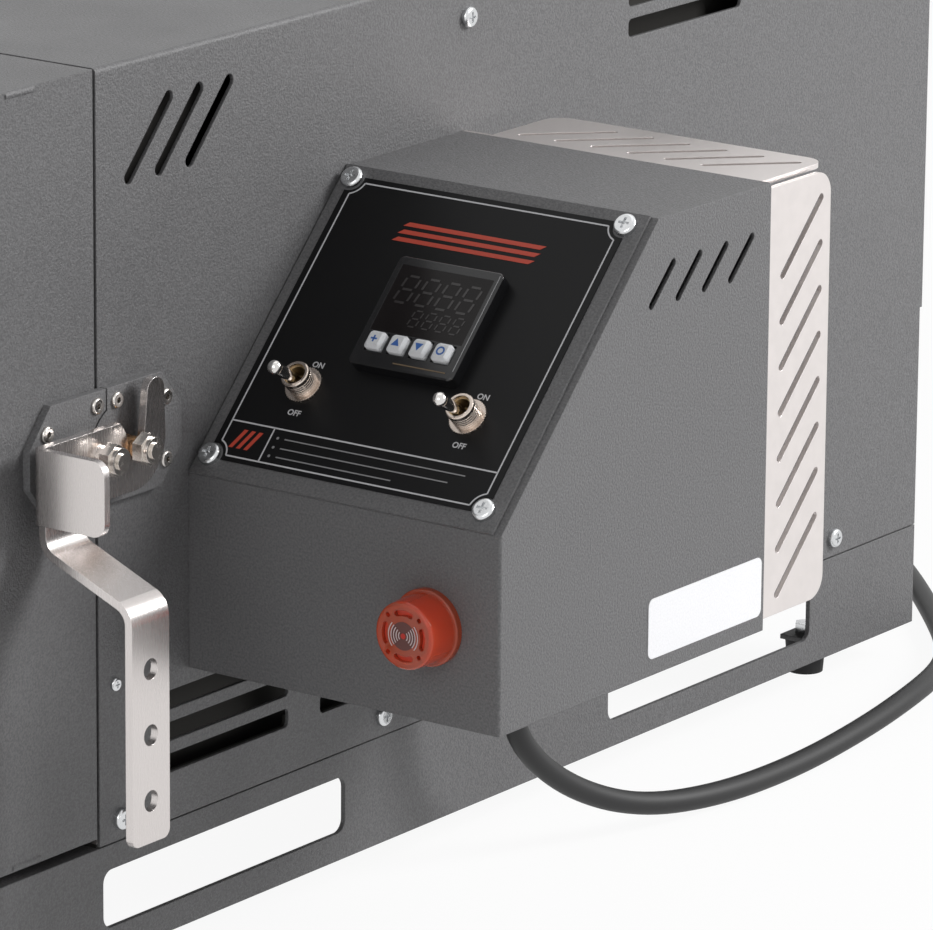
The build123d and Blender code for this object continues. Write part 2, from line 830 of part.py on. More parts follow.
def make_door_shell():
    """Folded door pan with its rear edges turned in and a weld bead in two corners."""
    shape = fillet(door_space(0).edges().filter_by(Axis.Z).group_by(Axis.Y)[0], bend_radius)
    shape -= door_space(sheet)
    lip = door_lip + sheet
    shape -= block(cab_left_x + lip, -lip, door_rear_y - sheet - through, door_rear_y + through,
                   door_z + lip, cab_top - lip)
    for z in (cab_top - weld_radius, door_z + weld_radius):
        for x in (-weld_radius * 0.7, cab_left_x + weld_radius * 0.7):
            y = door_rear_y - weld_start
            shape += rod_y(weld_radius, x, y - weld_length, y, z)
    for y, z, on_door in rivet_points():
        if on_door:
            shape -= rod_x(rivet_diameter / 2, -sheet - through, through, y, z)
    for y, z in hinge_screw_points(True):
        shape -= rod_x(screw_diameter / 2, cab_left_x - through, cab_left_x + sheet + through, y, z)
    return shape - rod_x(bolt_diameter / 2, -sheet - through, through, pivot_y, latch_z)


def make_door_frame():
    """Inner sheet that holds the brick."""
    y1 = door_rear_y - sheet
    edge = sheet + frame_edge
    outer = block(cab_left_x + edge, -edge, y1 - frame_sheet, y1, door_z + edge, cab_top - edge)
    return outer - plug_space(y1 - through, y1 + through, 0)


def make_door_brick():
    """Brick slab in the pan with its step into the chamber mouth."""
    gap = sheet + door_brick_gap
    y0, y1 = door_front_y + sheet, door_rear_y - sheet - frame_sheet
    slab = block(cab_left_x + gap, -gap, y0, y1, door_z + gap, cab_top - gap)
    return slab + plug_space(y1, door_rear_y + plug_depth, 0)


# Hinges

def hinge_levels():
    return [cab_z + hinge_inset, cab_top - hinge_inset]


def knuckle_spans(z):
    """Lower, middle and upper knuckle of the hinge centred at z."""
    length = (hinge_height - 2 * hinge_knuckle_gap) / 3
    low = z - hinge_height / 2
    step = length + hinge_knuckle_gap
    return [(low + i * step, low + i * step + length) for i in range(3)]


def make_hinge_leaves(on_door):
    """Both hinges' leaves of one side."""
    way = -1 if on_door else 1
    x0, x1 = cab_left_x - hinge_leaf, cab_left_x
    clear = hinge_barrel_diameter / 2 + hinge_knuckle_gap
    pieces = []
    for z in hinge_levels():
        spans = knuckle_spans(z)
        own = [spans[1]] if on_door else [spans[0], spans[2]]
        far = hinge_y + way * hinge_leaf_width
        y_ends = sorted((hinge_y + way * clear, far))
        half = hinge_height / 2
        leaf = block(x0, x1, y_ends[0], y_ends[1], z - half, z + half)
        for z0, z1 in own:
            web = sorted((hinge_y, hinge_y + way * clear))
            knuckle = rod_z(hinge_barrel_diameter / 2, hinge_x, hinge_y, z0, z1)
            leaf += knuckle + block(x0, cab_left_x - hinge_stand_off, web[0], web[1], z0, z1)
            bore = hinge_pin_diameter / 2 + (pin_clearance if on_door else 0)
            leaf -= rod_z(bore, hinge_x, hinge_y, z0 - through, z1 + through)
        for y, screw_z in hinge_screw_points(on_door):
            if abs(screw_z - z) < half:
                leaf -= rod_x(screw_diameter / 2, x0 - through, x1 + through, y, screw_z)
        pieces.append(leaf)
    return group(pieces)


def hinge_screw_points(on_door):
    way = -1 if on_door else 1
    y = hinge_y + way * hinge_leaf_width * 0.62
    return [(y, z + up * hinge_height * 0.32) for z in hinge_levels() for up in (-1, 1)]


def make_hinge_screws(on_door):
    pieces = []
    for y, z in hinge_screw_points(on_door):
        screw = cross_screw(screw_head_diameter, hinge_screw_head, screw_diameter, screw_length)
        pieces.append(Pos(cab_left_x - hinge_leaf, y, z) * Rot(0, -90, 0) * screw)
    return pieces


def make_hinge_pins():
    pieces = []
    for z in hinge_levels():
        low, top = z - hinge_height / 2, z + hinge_height / 2
        pin = rod_z(hinge_pin_diameter / 2, hinge_x, hinge_y, low, top)
        pieces.append(pin + rod_z(pin_head_diameter / 2, hinge_x, hinge_y, top, top + pin_head))
    return group(pieces)


# Latch

def plate_blank(way):
    """One latch plate: chamfered away from the split, straight at it."""
    near = plate_split_y + way * plate_gap / 2
    far = plate_split_y + way * plate_length / 2
    half = plate_height / 2
    outline = [(near, -half), (far - way * chamfer_y, -half), (far, -half + chamfer_z),
               (far, half - chamfer_z), (far - way * chamfer_y, half), (near, half)]
    points = [(y, latch_z + z) for y, z in outline]
    return side_plate(make_face(Polyline(*points, close=True).edges()), 0, plate_face)


def make_door_plate():
    shape = plate_blank(-1)
    shape -= rod_x(tab_radius + plate_gap, -through, plate_face + through, roller_y, latch_z)
    shape -= rod_x(bolt_diameter / 2, -through, plate_face + through, pivot_y, latch_z)
    return cut_rivets(shape, True)


def make_strike_plate():
    shape = plate_blank(1) + rod_x(tab_radius, 0, plate_face, roller_y, latch_z)
    shape -= rod_x(bolt_diameter / 2, -through, plate_face + through, roller_y, latch_z)
    return cut_rivets(shape, False)


def cut_rivets(shape, door_side):
    for y, z, on_door in rivet_points():
        if on_door == door_side:
            shape -= rod_x(rivet_diameter / 2, -through, plate_face + through, y, z)
    return shape


def make_rivets(door_side):
    pieces = []
    for y, z, on_door in rivet_points():
        if on_door == door_side:
            pieces.append(Pos(plate_face, y, z) * Rot(0, 90, 0) * blind_rivet())
    return group(pieces)


def make_latch_bolt(y):
    """Bolt from inside the sheet out through the latch plate, its end past the nut."""
    end = nut_back + nut_height + bolt_end
    shape = rod_x(bolt_diameter / 2, -sheet, end, y, latch_z)
    head = Pos(y, latch_z) * RegularPolygon(nut_flats / 2, 6, major_radius=False, rotation=30)
    return shape + side_plate(head, -sheet - bolt_head, -sheet)


def make_latch_nut(y):
    return lock_nut(nut_back + nut_height, y, latch_z)


def make_pivot_sleeve():
    """Sleeve that the lever turns on, with a thick flange that holds the lever off the plate."""
    shape = rod_x(sleeve_diameter / 2, plate_face, nut_back, pivot_y, latch_z)
    shape += rod_x(washer_diameter / 2, plate_face, lever_back - washer_gap, pivot_y, latch_z)
    return shape - rod_x(bolt_diameter / 2, 0, nut_back + through, pivot_y, latch_z)


def make_roller():
    x0, x1 = plate_face + roller_end_gap, nut_back - roller_end_gap
    shape = rod_x(roller_diameter / 2, x0, x1, roller_y, latch_z)
    bore = bolt_diameter / 2 + running_clearance
    return shape - rod_x(bore, x0 - through, x1 + through, roller_y, latch_z)


def lever_outline():
    """Side view of the lever about its pivot: body, slot for the roller and finger beyond it."""
    slot = roller_diameter / 2 + slot_clearance
    jaw = pivot_to_roller - slot
    jaw_angle = math.degrees(math.asin(lever_top / jaw))
    back = pivot_to_roller + slot + finger_width
    heel = -strap_front + strap_width
    with BuildSketch() as outline:
        with BuildLine():
            front = Line((-lever_front, -guard_bottom), (-lever_front, lever_top))
            top = Line(front @ 1, (jaw * math.cos(math.radians(jaw_angle)), lever_top))
            CenterArc((0, 0), jaw, jaw_angle, -jaw_angle)
            cup = CenterArc((pivot_to_roller, 0), slot, 180, 180)
            rise = Line(cup @ 1, (jaw + 2 * slot + finger_lean, finger_height - finger_tip))
            end = (back - finger_lean / 4, finger_height - finger_tip)
            middle = ((rise @ 1).X + end[0]) / 2
            tip = ThreePointArc(rise @ 1, (middle, finger_height), end)
            fall = Line(tip @ 1, (back, 0))
            belly = ThreePointArc(fall @ 1, (back - finger_width * 0.4, -lever_bottom * 0.66),
                                  (pivot_to_roller, -lever_bottom))
            low = Line(belly @ 1, (heel, -lever_bottom))
            step = Line(low @ 1, (heel, -guard_bottom))
            Line(step @ 1, front @ 0)
        make_face()
    return outline.sketch


def make_lever():
    """Hooked lever: flat body, guard folded out at its front, cranked strap below."""
    body = side_plate(Pos(pivot_y, latch_z) * lever_outline(), lever_back, lever_face)
    body += make_guard() + make_strap()
    bore = sleeve_diameter / 2 + running_clearance
    return body - rod_x(bore, lever_back - through, lever_face + through, pivot_y, latch_z)


def make_guard():
    """Plate folded outwards at the lever's front edge, its outer corners round."""
    y0 = pivot_y - lever_front - guard_bend
    plate = block(lever_back, lever_face + guard_width, y0, y0 + latch_sheet,
                  latch_z - guard_bottom, latch_z + lever_top)
    plate = fillet(plate.edges().filter_by(Axis.Y).group_by(Axis.X)[-1], guard_radius)
    corner = plate.edges().filter_by(Axis.Z).group_by(Axis.Y)[0].sort_by(Axis.X)[0]
    return fillet(corner, guard_bend)


def make_strap():
    """Strap from the lever down, out and down again, with the grip's holes."""
    top = latch_z - guard_bottom + 1.0
    bend = latch_z - strap_bend_z
    x0 = (lever_back + lever_face) / 2
    x1 = x0 + strap_out
    y = pivot_y - strap_front + strap_width / 2
    low = latch_z - strap_end
    path = FilletPolyline((x0, y, top), (x0, y, bend), (x1, y, bend - strap_drop), (x1, y, low),
                          radius=strap_bend)
    section = Plane(origin=(x0, y, top), x_dir=(0, 1, 0), z_dir=(0, 0, -1))
    strap = sweep(section * Rectangle(strap_width, latch_sheet), path=path)
    strap = fillet(strap.edges().filter_by(Axis.X).group_by(Axis.Z)[0], grip_corner)
    for i in range(3):
        z = latch_z - grip_hole_top - i * grip_hole_pitch
        strap -= rod_x(grip_hole_diameter / 2, x1 - through, x1 + through, y, z)
    return strap


# Control box

slope_angle = math.degrees(math.atan2(box_height - box_front_height, slope_run))
slope = Plane(origin=(0, 0, box_z + box_front_height), x_dir=(1, 0, 0),
              z_dir=(0, -math.sin(math.radians(slope_angle)), math.cos(math.radians(slope_angle))))
face_h = lid_sheet + overlay_sheet


def on_slope(shape, x=0, t=0, h=0):
    return slope.location * (Pos(x, t, h) * shape)


def slope_post(x, t, radius, h0, h1):
    return on_slope(Pos(0, 0, (h0 + h1) / 2) * Cylinder(radius, h1 - h0), x, t)


def slope_block(x, t, width, length, h0, h1):
    return on_slope(Pos(0, 0, (h0 + h1) / 2) * Box(width, length, h1 - h0), x, t)


def rounded_block(width, length, corner, h0, h1):
    face = RectangleRounded(width, length, corner)
    return Pos(0, 0, h0) * extrude(face, h1 - h0)


def box_profile(inset):
    """Side view of the control box, open to the rear."""
    lean = inset * math.tan(math.radians(slope_angle / 2))
    shrink = inset * math.tan(math.radians(45 - slope_angle / 2))
    rear = box_depth + (through if inset else 0)
    points = [(inset, inset), (rear, inset), (rear, box_height - inset),
              (slope_run + lean, box_height - inset), (inset, box_front_height - shrink)]
    return [(y, box_z + z) for y, z in points]


def make_box_shell():
    """Folded box with a slanted front that the lid closes."""
    outer = side_plate(make_face(Polyline(*box_profile(0), close=True).edges()), 0, box_width)
    inner = side_plate(make_face(Polyline(*box_profile(sheet), close=True).edges()), sheet, box_width - sheet)
    shape = outer - inner
    edges = shape.edges().filter_by(Axis.Z).group_by(Axis.X)[-1].sort_by(Axis.Y)[0]
    shape = fillet(edges, bend_radius * 0.6)
    half = lid_margin + lid_flange
    shape -= slope_block(box_width / 2, slope_side / 2, box_width - 2 * half,
                         slope_side - 2 * half, -sheet - 1.0, 1.0)
    for x, t in lid_screw_points():
        shape -= slope_post(x, t, screw_diameter / 2, -through, through)
    for i in range(box_vent_count):
        y = box_vent_y + i * box_vent_pitch
        z = box_z + box_vent_z
        shape -= side_slot(y, z, y + box_vent_run, z + box_vent_run, box_vent_width,
                           box_width - sheet - through, box_width + through)
    shape -= rod_x(wire_hole_diameter / 2, -through, sheet + through, wire_hole_y, box_z + wire_hole_z)
    shape -= rod_y(lamp_body_diameter / 2, lamp_x, -through, sheet + through, box_z + lamp_z)
    return shape - rod_z(gland_thread_diameter / 2, gland_x, gland_y,
                         box_z - through, box_z + sheet + through)


def lid_screw_points():
    points = []
    for x in (lid_screw_x - lid_screw_dx / 2, lid_screw_x + lid_screw_dx / 2):
        for t in (lid_screw_t - lid_screw_dt / 2, lid_screw_t + lid_screw_dt / 2):
            points.append((x, t))
    return points


def make_lid():
    """Flat lid on the slope, cut for the controller, the switches and its screws."""
    x1 = box_width - lid_margin
    length = slope_side - lid_clearance
    shape = slope_block(x1 / 2 + lid_clearance / 2, slope_side / 2, x1 - lid_clearance, length,
                        0, lid_sheet)
    return cut_panel(shape)


def cut_panel(shape):
    for x, t in lid_screw_points():
        shape -= slope_post(x, t, screw_diameter / 2, -through, through)
    for x in toggle_xs:
        shape -= slope_post(x, toggle_t, toggle_bushing_radius, -through, through)
    return shape - slope_block(controller_x, controller_t, controller_case, controller_case,
                               -through, through)


def make_overlay():
    """Thin black panel on the lid."""
    shape = slope_block(lid_screw_x, lid_screw_t, overlay_width, overlay_length, lid_sheet, face_h)
    for x, t in lid_screw_points():
        shape -= slope_post(x, t, overlay_notch, -through, through)
    return cut_panel(shape)


def make_lid_screws():
    pieces = []
    for x, t in lid_screw_points():
        screw = cross_screw(lid_screw_head_diameter, screw_head, screw_diameter, screw_length)
        pieces.append(on_slope(screw, x, t, lid_sheet))
    return group(pieces)


# Controller

def key_points():
    first = controller_x - key_pitch * (key_count - 1) / 2
    return [(first + i * key_pitch, controller_t - key_down) for i in range(key_count)]


def bezel_h():
    return face_h + bezel_height


def make_controller():
    """Housing behind the lid with a bezel in front of it."""
    bezel = rounded_block(controller_face, controller_face, bezel_radius, face_h, bezel_h())
    bezel = fillet(bezel.edges().group_by(Axis.Z)[-1], 0.8)
    case = Pos(0, 0, (face_h - controller_depth) / 2) * Box(controller_case, controller_case,
                                                            controller_depth + face_h)
    shape = on_slope(bezel + case, controller_x, controller_t)
    shape -= slope_block(controller_x, controller_t + display_up, display_width, display_length,
                         bezel_h() - display_glass, bezel_h() + through)
    hole = key_size + 2 * key_clearance
    floor = bezel_h() - key_root - key_travel - 2 * key_clearance
    for x, t in key_points():
        shape -= slope_block(x, t, hole, hole, floor, bezel_h() + through)
    return shape


def make_display():
    return slope_block(controller_x, controller_t + display_up, display_width, display_length,
                       bezel_h() - display_glass, bezel_h())


def make_key(index):
    """Square key with chamfered edges."""
    x, t = key_points()[index]
    height = key_root + key_stand
    key = extrude(RectangleRounded(key_size, key_size, key_corner), height)
    key = chamfer(key.edges().group_by(Axis.Z)[-1], key_chamfer)
    return on_slope(key, x, t, bezel_h() - key_root)


# Toggle switches

def make_toggle_body(x):
    """Case below the lid with its threaded bushing."""
    case = Pos(0, 0, -toggle_case_depth / 2) * Box(toggle_case_width, toggle_case_length, toggle_case_depth)
    top = face_h + toggle_washer + toggle_nut_height * 0.8
    shape = case + Pos(0, 0, top / 2) * Cylinder(toggle_bushing_radius, top)
    pocket = toggle_case_depth * 0.4
    shape -= Pos(0, 0, (top - pocket) / 2 + 1.0) * Cylinder(toggle_bore_radius, top + pocket + 2.0)
    for side in (-1, 1):
        tab = Box(toggle_case_width * 0.5, tab_sheet, tab_length)
        shape += Pos(0, side * toggle_case_length * 0.35, -toggle_case_depth - tab_length * 0.44) * tab
    return on_slope(shape, x, toggle_t)


def make_toggle_nut(x):
    """Round dress nut with turned grooves and a softened rim."""
    foot = face_h + toggle_washer
    low = (Align.CENTER, Align.CENTER, Align.MIN)
    rim = toggle_nut_radius - toggle_nut_top_radius
    shape = Cylinder(toggle_nut_radius, toggle_nut_height - rim, align=low)
    cone = Cone(toggle_nut_radius, toggle_nut_top_radius, rim, align=low)
    shape += Pos(0, 0, toggle_nut_height - rim) * cone
    for i in range(1, 6):
        ring = Torus(toggle_nut_radius + toggle_groove * 0.3, toggle_groove)
        shape -= Pos(0, 0, i * toggle_nut_height / 7) * ring
    shape -= Cylinder(toggle_bushing_radius, 4 * toggle_nut_height)
    return on_slope(shape, x, toggle_t, foot)


def make_toggle_washer(x):
    """Knurled washer under the nut."""
    shape = Cylinder(toggle_washer_radius, toggle_washer, align=(Align.CENTER, Align.CENTER, Align.MIN))
    for i in range(toggle_teeth):
        notch = Cylinder(toggle_groove * 2.2, 4 * toggle_washer)
        shape -= Rot(0, 0, i * 360 / toggle_teeth) * Pos(toggle_washer_radius + toggle_groove, 0, 0) * notch
    shape -= Cylinder(toggle_bushing_radius, 4 * toggle_washer)
    return on_slope(shape, x, toggle_t, face_h)


def make_toggle_lever(x):
    """Bat lever on its pivot ball, resting tilted down the slope."""
    root, tip = toggle_root_radius, toggle_tip_radius
    bat = Cone(root, tip * 0.93, toggle_reach, align=(Align.CENTER, Align.CENTER, Align.MIN))
    bat += Pos(0, 0, toggle_reach) * Sphere(tip)
    bat += Sphere(root * 1.7)
    return on_slope(Rot(toggle_tilt, 0, 0) * bat, x, toggle_t, toggle_pivot_h)


# Sounder lamp

def on_lamp(shape):
    """Things drawn along +Z, set on the front of the box."""
    return Pos(lamp_x, 0, box_z + lamp_z) * Rot(90, 0, 0) * shape


def make_lamp_lens():
    """Red lens: flange, tapered head, four curved slots and four small holes in its face."""
    low = (Align.CENTER, Align.CENTER, Align.MIN)
    shape = Cylinder(lamp_flange_diameter / 2, lamp_flange, align=low)
    shape = fillet(shape.edges().group_by(Axis.Z)[-1], 0.8)
    head = Cone(lamp_head_diameter / 2, lamp_front_diameter / 2, lamp_reach, align=low)
    shape += fillet(head.edges().group_by(Axis.Z)[-1], 1.2)
    shape -= Cylinder(lamp_front_diameter / 2 - lamp_wall, lamp_reach - lamp_wall, align=low)
    for i in range(4):
        slot = slot_arc()
        shape -= Rot(0, 0, i * 90) * Pos(0, 0, lamp_reach - lamp_wall * 1.5) * slot
        hole = Pos(lamp_slot_radius + 1.2, 0, lamp_reach) * Cylinder(lamp_hole_diameter / 2, lamp_wall * 4)
        shape -= Rot(0, 0, i * 90 + 45) * hole
    return on_lamp(shape)


def slot_arc():
    """Curved slot about the lamp's axis, centred on +X."""
    line = CenterArc((0, 0), lamp_slot_radius, -lamp_slot_angle / 2, lamp_slot_angle)
    return extrude(SlotArc(line, lamp_slot_width), lamp_wall * 3)


def make_lamp_body():
    """Sounder behind the lens: drum in it, barrel through the panel, nut and terminals."""
    low = (Align.CENTER, Align.CENTER, Align.MIN)
    drum = lamp_front_diameter / 2 - lamp_wall - 0.2
    shape = Cylinder(drum, lamp_reach - lamp_wall, align=low)
    shape += Pos(0, 0, -lamp_body_length) * Cylinder(lamp_body_diameter / 2, lamp_body_length, align=low)
    nut = Cylinder(lamp_nut_diameter / 2, lamp_nut, align=low)
    shape += Pos(0, 0, -sheet - lamp_nut) * nut
    for side in (-1, 1):
        tab = Box(tab_sheet, lamp_tab_width, tab_length)
        shape += Pos(side * lamp_body_diameter * 0.23, 0, -lamp_body_length - tab_length * 0.44) * tab
    return on_lamp(shape)


# Rear sheet, label and what is inside the box

def make_shield():
    """Rear sheet of the box with a slotted flange on its right and on its top."""
    y0, y1 = box_depth, box_depth + shield_sheet
    top = box_z + box_height
    web = block(0, box_width, y0, y1, box_z + shield_lift, top)
    corner = block(box_width - shield_notch, box_width + through, y0 - through, y1 + through,
                   top - shield_sheet, top + through)
    web -= corner
    side = block(box_width - shield_sheet, box_width, y0, y0 + shield_side_depth,
                 box_z + shield_lift, top - shield_sheet)
    side = fillet(side.edges().filter_by(Axis.X).group_by(Axis.Y)[-1], shield_corner)
    crown = block(shield_top_start, shield_top_end, y0, y0 + shield_top_depth, top - shield_sheet, top)
    crown = fillet(crown.edges().filter_by(Axis.Z).group_by(Axis.Y)[-1], shield_corner)
    return web + cut_side_flange(side) + cut_top_flange(crown)


def cut_side_flange(side):
    reach = shield_slot_run
    y = box_depth + shield_slot_margin
    first = box_z + box_height - shield_slot_margin - 3.0 - reach
    for i in range(shield_side_slots):
        z = first - i * shield_slot_pitch
        side -= side_slot(y, z, y + reach, z + reach, shield_slot_width,
                          box_width - shield_sheet - through, box_width + through)
    return side


def cut_top_flange(crown):
    reach = shield_slot_run
    y = box_depth + shield_slot_margin + reach / 2
    top = box_z + box_height
    first = shield_top_start + shield_slot_margin + reach / 2
    last = shield_top_end - shield_top_margin - reach / 2
    for i in range(shield_top_slots):
        x = first + i * (last - first) / (shield_top_slots - 1)
        slot = Rot(0, 0, 45) * SlotCenterToCenter(reach * math.sqrt(2), shield_slot_width)
        crown -= Pos(x, y, top - 2 * shield_sheet) * extrude(slot, 4 * shield_sheet)
    return crown


def make_label():
    face = RectangleRounded(label_length, label_height, label_radius)
    centre = Pos(label_y + label_length / 2, box_z + label_z + label_height / 2)
    return side_plate(centre * face, box_width, box_width + label_sheet)


def make_relay():
    width, depth, height = relay_size
    z0 = box_z + box_height - relay_top_gap - height
    body = block(relay_x, relay_x + width, box_depth - depth, box_depth, z0, z0 + height)
    for side in (0.25, 0.75):
        x = relay_x + width * side
        body += rod_y(3.0, x, box_depth - depth - 3.0, box_depth - depth, z0 + height * 0.85)
        body += rod_y(3.0, x, box_depth - depth - 3.0, box_depth - depth, z0 + height * 0.15)
    return body


def make_terminal_block():
    """Screw terminals on the box's left wall, over the gland."""
    width, depth, height = terminal_size
    z0 = box_z + terminal_z
    y0 = gland_y - depth / 2
    block_shape = block(sheet, sheet + width, y0, y0 + depth, z0, z0 + height)
    for i in range(4):
        x = sheet + width * (i + 0.5) / 4
        block_shape -= rod_z(terminal_hole_radius, x, gland_y, z0 + height * 0.6, z0 + height + through)
    return block_shape


# Cord

def make_gland():
    """Gland through the box's floor with its nut, and a tapered strain relief below it."""
    low, high = box_z - gland_height, box_z + sheet + gland_nut
    hexagon = Pos(gland_x, gland_y, low) * extrude(RegularPolygon(gland_flats / 2, 6, major_radius=False),
                                                   gland_height)
    thread = rod_z(gland_thread_diameter / 2, gland_x, gland_y, box_z, high)
    nut = extrude(RegularPolygon(gland_flats / 2, 6, major_radius=False), gland_nut)
    relief = Cone(relief_end_diameter / 2, relief_top_diameter / 2, relief_length)
    relief = Pos(gland_x, gland_y, low - relief_length / 2) * relief
    return hexagon + thread + relief + Pos(gland_x, gland_y, box_z + sheet) * nut


def cord_route():
    """Points from the strain relief's end to the start of the coil."""
    end = box_z - gland_height - relief_length
    fall = [Vector(gland_x + x, gland_y + y, end + z) for x, y, z in cord_fall]
    return fall + [Vector(gland_x + x, gland_y + y, z) for x, y, z in cord_run]


def make_cord():
    """Cord from the strain relief to the coil, in straight runs joined by wide arcs."""
    points = cord_route()
    runs = [b - a for a, b in zip(points, points[1:])]
    radii = []
    for before, after in zip(runs, runs[1:]):
        half_turn = math.radians(before.get_angle(after)) / 2
        radii.append(0.45 * min(before.length, after.length) / math.tan(half_turn))
    path = FilletPolyline(*points, radius=radii)
    print("cord radii", [round(r) for r in radii])
    section = Plane(origin=points[0], z_dir=runs[0]) * Circle(cord_diameter / 2)
    tube = sweep(section, path=path)
    report_tube("cord", tube, path.length)
    return tube


def report_tube(name, tube, length):
    """Print a tube's length and how well its volume fits its section."""
    area = math.pi * cord_diameter ** 2 / 4
    print(name, "length", round(length, 1))
    print("volume over section x length", round(tube.volume / area / length, 4))


def coil_point(k):
    """Point and direction at quarter turn k of the coil."""
    start = cord_route()[-1]
    angle = math.radians(90 + 90 * k)
    mid = coil_quarters / 2
    radius = coil_radius - coil_pitch * min(k, coil_quarters - k) / 4
    inward = 0 if k in (0, mid, coil_quarters) else math.copysign(coil_pitch / (2 * math.pi), k - mid)
    level = start.Z + coil_pitch * min(max((k - mid + 1) / 2, 0), 1)
    climb = 1.5 * coil_pitch / math.pi if k == mid else 0
    out = Vector(math.cos(angle), math.sin(angle), 0)
    along = Vector(-math.sin(angle), math.cos(angle), 0)
    point = Vector(start.X, start.Y - coil_radius, level) + out * radius
    direction = (along * radius + out * inward + Vector(0, 0, climb)).normalized()
    return point, direction


def two_arcs(start, start_way, end, end_way):
    """Two arcs that join two points in given directions."""
    gap = end - start
    ways = start_way + end_way
    spread = 2 * (1 - start_way.dot(end_way))
    reach = (math.sqrt(gap.dot(ways) ** 2 + spread * gap.dot(gap)) - gap.dot(ways)) / spread
    knee_in, knee_out = start + start_way * reach, end - end_way * reach
    joint = (knee_in + knee_out) * 0.5
    first = TangentArc(start, joint, tangent=start_way)
    second = TangentArc(joint, end, tangent=(knee_out - knee_in).normalized())
    return [first, second]


def make_coil():
    """The rest of the cord: a neat coil, in on the floor and out again on top."""
    edges = []
    for k in range(coil_quarters):
        edges += two_arcs(*coil_point(k), *coil_point(k + 1))
    end, way = coil_point(coil_quarters)
    edges.append(Line(end, end + way * coil_tail))
    path = Wire([edge.edge() for edge in edges])
    start = coil_point(0)
    section = Plane(origin=start[0], z_dir=start[1]) * Circle(cord_diameter / 2)
    tube = sweep(section, path=path)
    report_tube("coil", tube, path.length)
    steps = 400
    points = [path @ (i / steps) for i in range(steps + 1)]
    away = int(steps * 0.12)
    least = min((points[i] - points[j]).length for i in range(steps) for j in range(i + away, steps))
    print("least gap of the coil to itself", round(least - cord_diameter, 2))
    return tube


def plug_start():
    end, way = coil_point(coil_quarters)
    return end + way * coil_tail


def make_plug():
    """Plug lying behind the oven, its taper on the cord."""
    at = plug_start()
    thick = 2 * (at.Z - 0.2)
    taper = Cone(plug_width * 0.3, cord_diameter * 0.6, plug_relief)
    taper = Pos(at.X - plug_relief / 2, at.Y, at.Z) * Rot(0, 90, 0) * taper
    x1 = at.X - plug_relief
    body = block(x1 - plug_length, x1, at.Y - plug_width / 2, at.Y + plug_width / 2,
                 at.Z - thick / 2, at.Z + thick / 2)
    body = fillet(body.edges().filter_by(Axis.X), plug_width * 0.2)
    x0 = x1 - plug_length
    blade = Box(plug_pin, plug_blade_width, plug_blade_sheet)
    blades = [Pos(x0 - plug_pin / 2, at.Y + side * plug_blade_spacing / 2, at.Z + thick * 0.13) * blade
              for side in (-1, 1)]
    earth = rod_x(plug_earth_radius, x0 - plug_pin * 1.12, x0, at.Y, at.Z - thick * 0.22)
    return group([body + taper, *blades, earth])


# Every piece of the oven, by name

pieces = {
    "outer_wrapper": make_wrapper(),
    "base_pan": make_base_pan(),
    "rear_panel": make_rear_panel(),
    "front_fascia": make_fascia(),
    "inner_liner": make_liner(),
    "liner_rails": make_liner_rails(),
    "brick_slabs": group(make_slab(up) for up in (-1, 1)),
    "brick_sides": group(make_side_brick(side) for side in (-1, 1)),
    "brick_rear": make_rear_brick(),
    "heating_elements": group(make_element(side) for side in (-1, 1)),
    "element_terminals": make_terminals(),
    "thermocouple": make_probe(),
    "cabinet_screws": group(make_side_screws() + make_rear_screws() + make_hinge_screws(False)),
    "stand_side_rails": group(make_side_rail(side) for side in (-1, 1)),
    "stand_front_rail": make_front_rail(),
    "stand_rear_rail": make_rear_rail(),
    "feet": make_feet(),
    "foot_screws": make_foot_screws(),
    "hinge_leaves": make_hinge_leaves(False),
    "hinge_pins": make_hinge_pins(),
    "strike_plate": make_strike_plate(),
    "strike_rivets": make_rivets(False),
    "roller_bolt": make_latch_bolt(roller_y),
    "roller_nut": make_latch_nut(roller_y),
    "latch_roller": make_roller(),
    "door_shell": make_door_shell(),
    "door_frame": make_door_frame(),
    "door_brick": make_door_brick(),
    "door_hinge_leaves": make_hinge_leaves(True),
    "door_hinge_screws": group(make_hinge_screws(True)),
    "latch_plate": make_door_plate(),
    "latch_rivets": make_rivets(True),
    "pivot_bolt": make_latch_bolt(pivot_y),
    "pivot_nut": make_latch_nut(pivot_y),
    "pivot_sleeve": make_pivot_sleeve(),
    "latch_lever": make_lever(),
    "control_box": make_box_shell(),
    "control_lid": make_lid(),
    "panel_overlay": make_overlay(),
    "lid_screws": make_lid_screws(),
    "controller": make_controller(),
    "display_window": make_display(),
    "lamp_lens": make_lamp_lens(),
    "lamp_body": make_lamp_body(),
    "rear_shield": make_shield(),
    "label_plate": make_label(),
    "relay": make_relay(),
    "terminal_block": make_terminal_block(),
    "toggle_bodies": group(make_toggle_body(x) for x in toggle_xs),
    "toggle_nuts": group(make(x) for x in toggle_xs for make in (make_toggle_nut, make_toggle_washer)),
    "power_toggle": make_toggle_lever(toggle_xs[0]),
    "heat_toggle": make_toggle_lever(toggle_xs[1]),
    "cord_gland": make_gland(),
    "power_cord": make_cord(),
    "cord_coil": make_coil(),
    "cord_plug": make_plug(),
}
for i in range(key_count):
    pieces["key_" + str(i + 1)] = make_key(i)

left = hinge_x - hinge_barrel_diameter / 2
right = box_width + label_sheet
rear = cab_rear_y - rear_step + screw_head
to_origin = Pos(-(left + right) / 2, -(door_front_y + rear) / 2, 0)
os.makedirs("parts", exist_ok=True)
for name, piece in pieces.items():
    export_step(to_origin * piece, "parts/" + name + ".step")
print("moved by", to_origin.position)
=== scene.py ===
"""Dresses the bench heat treat oven: painted sheets, steel, brick, panel print, lamp and cord."""

import math

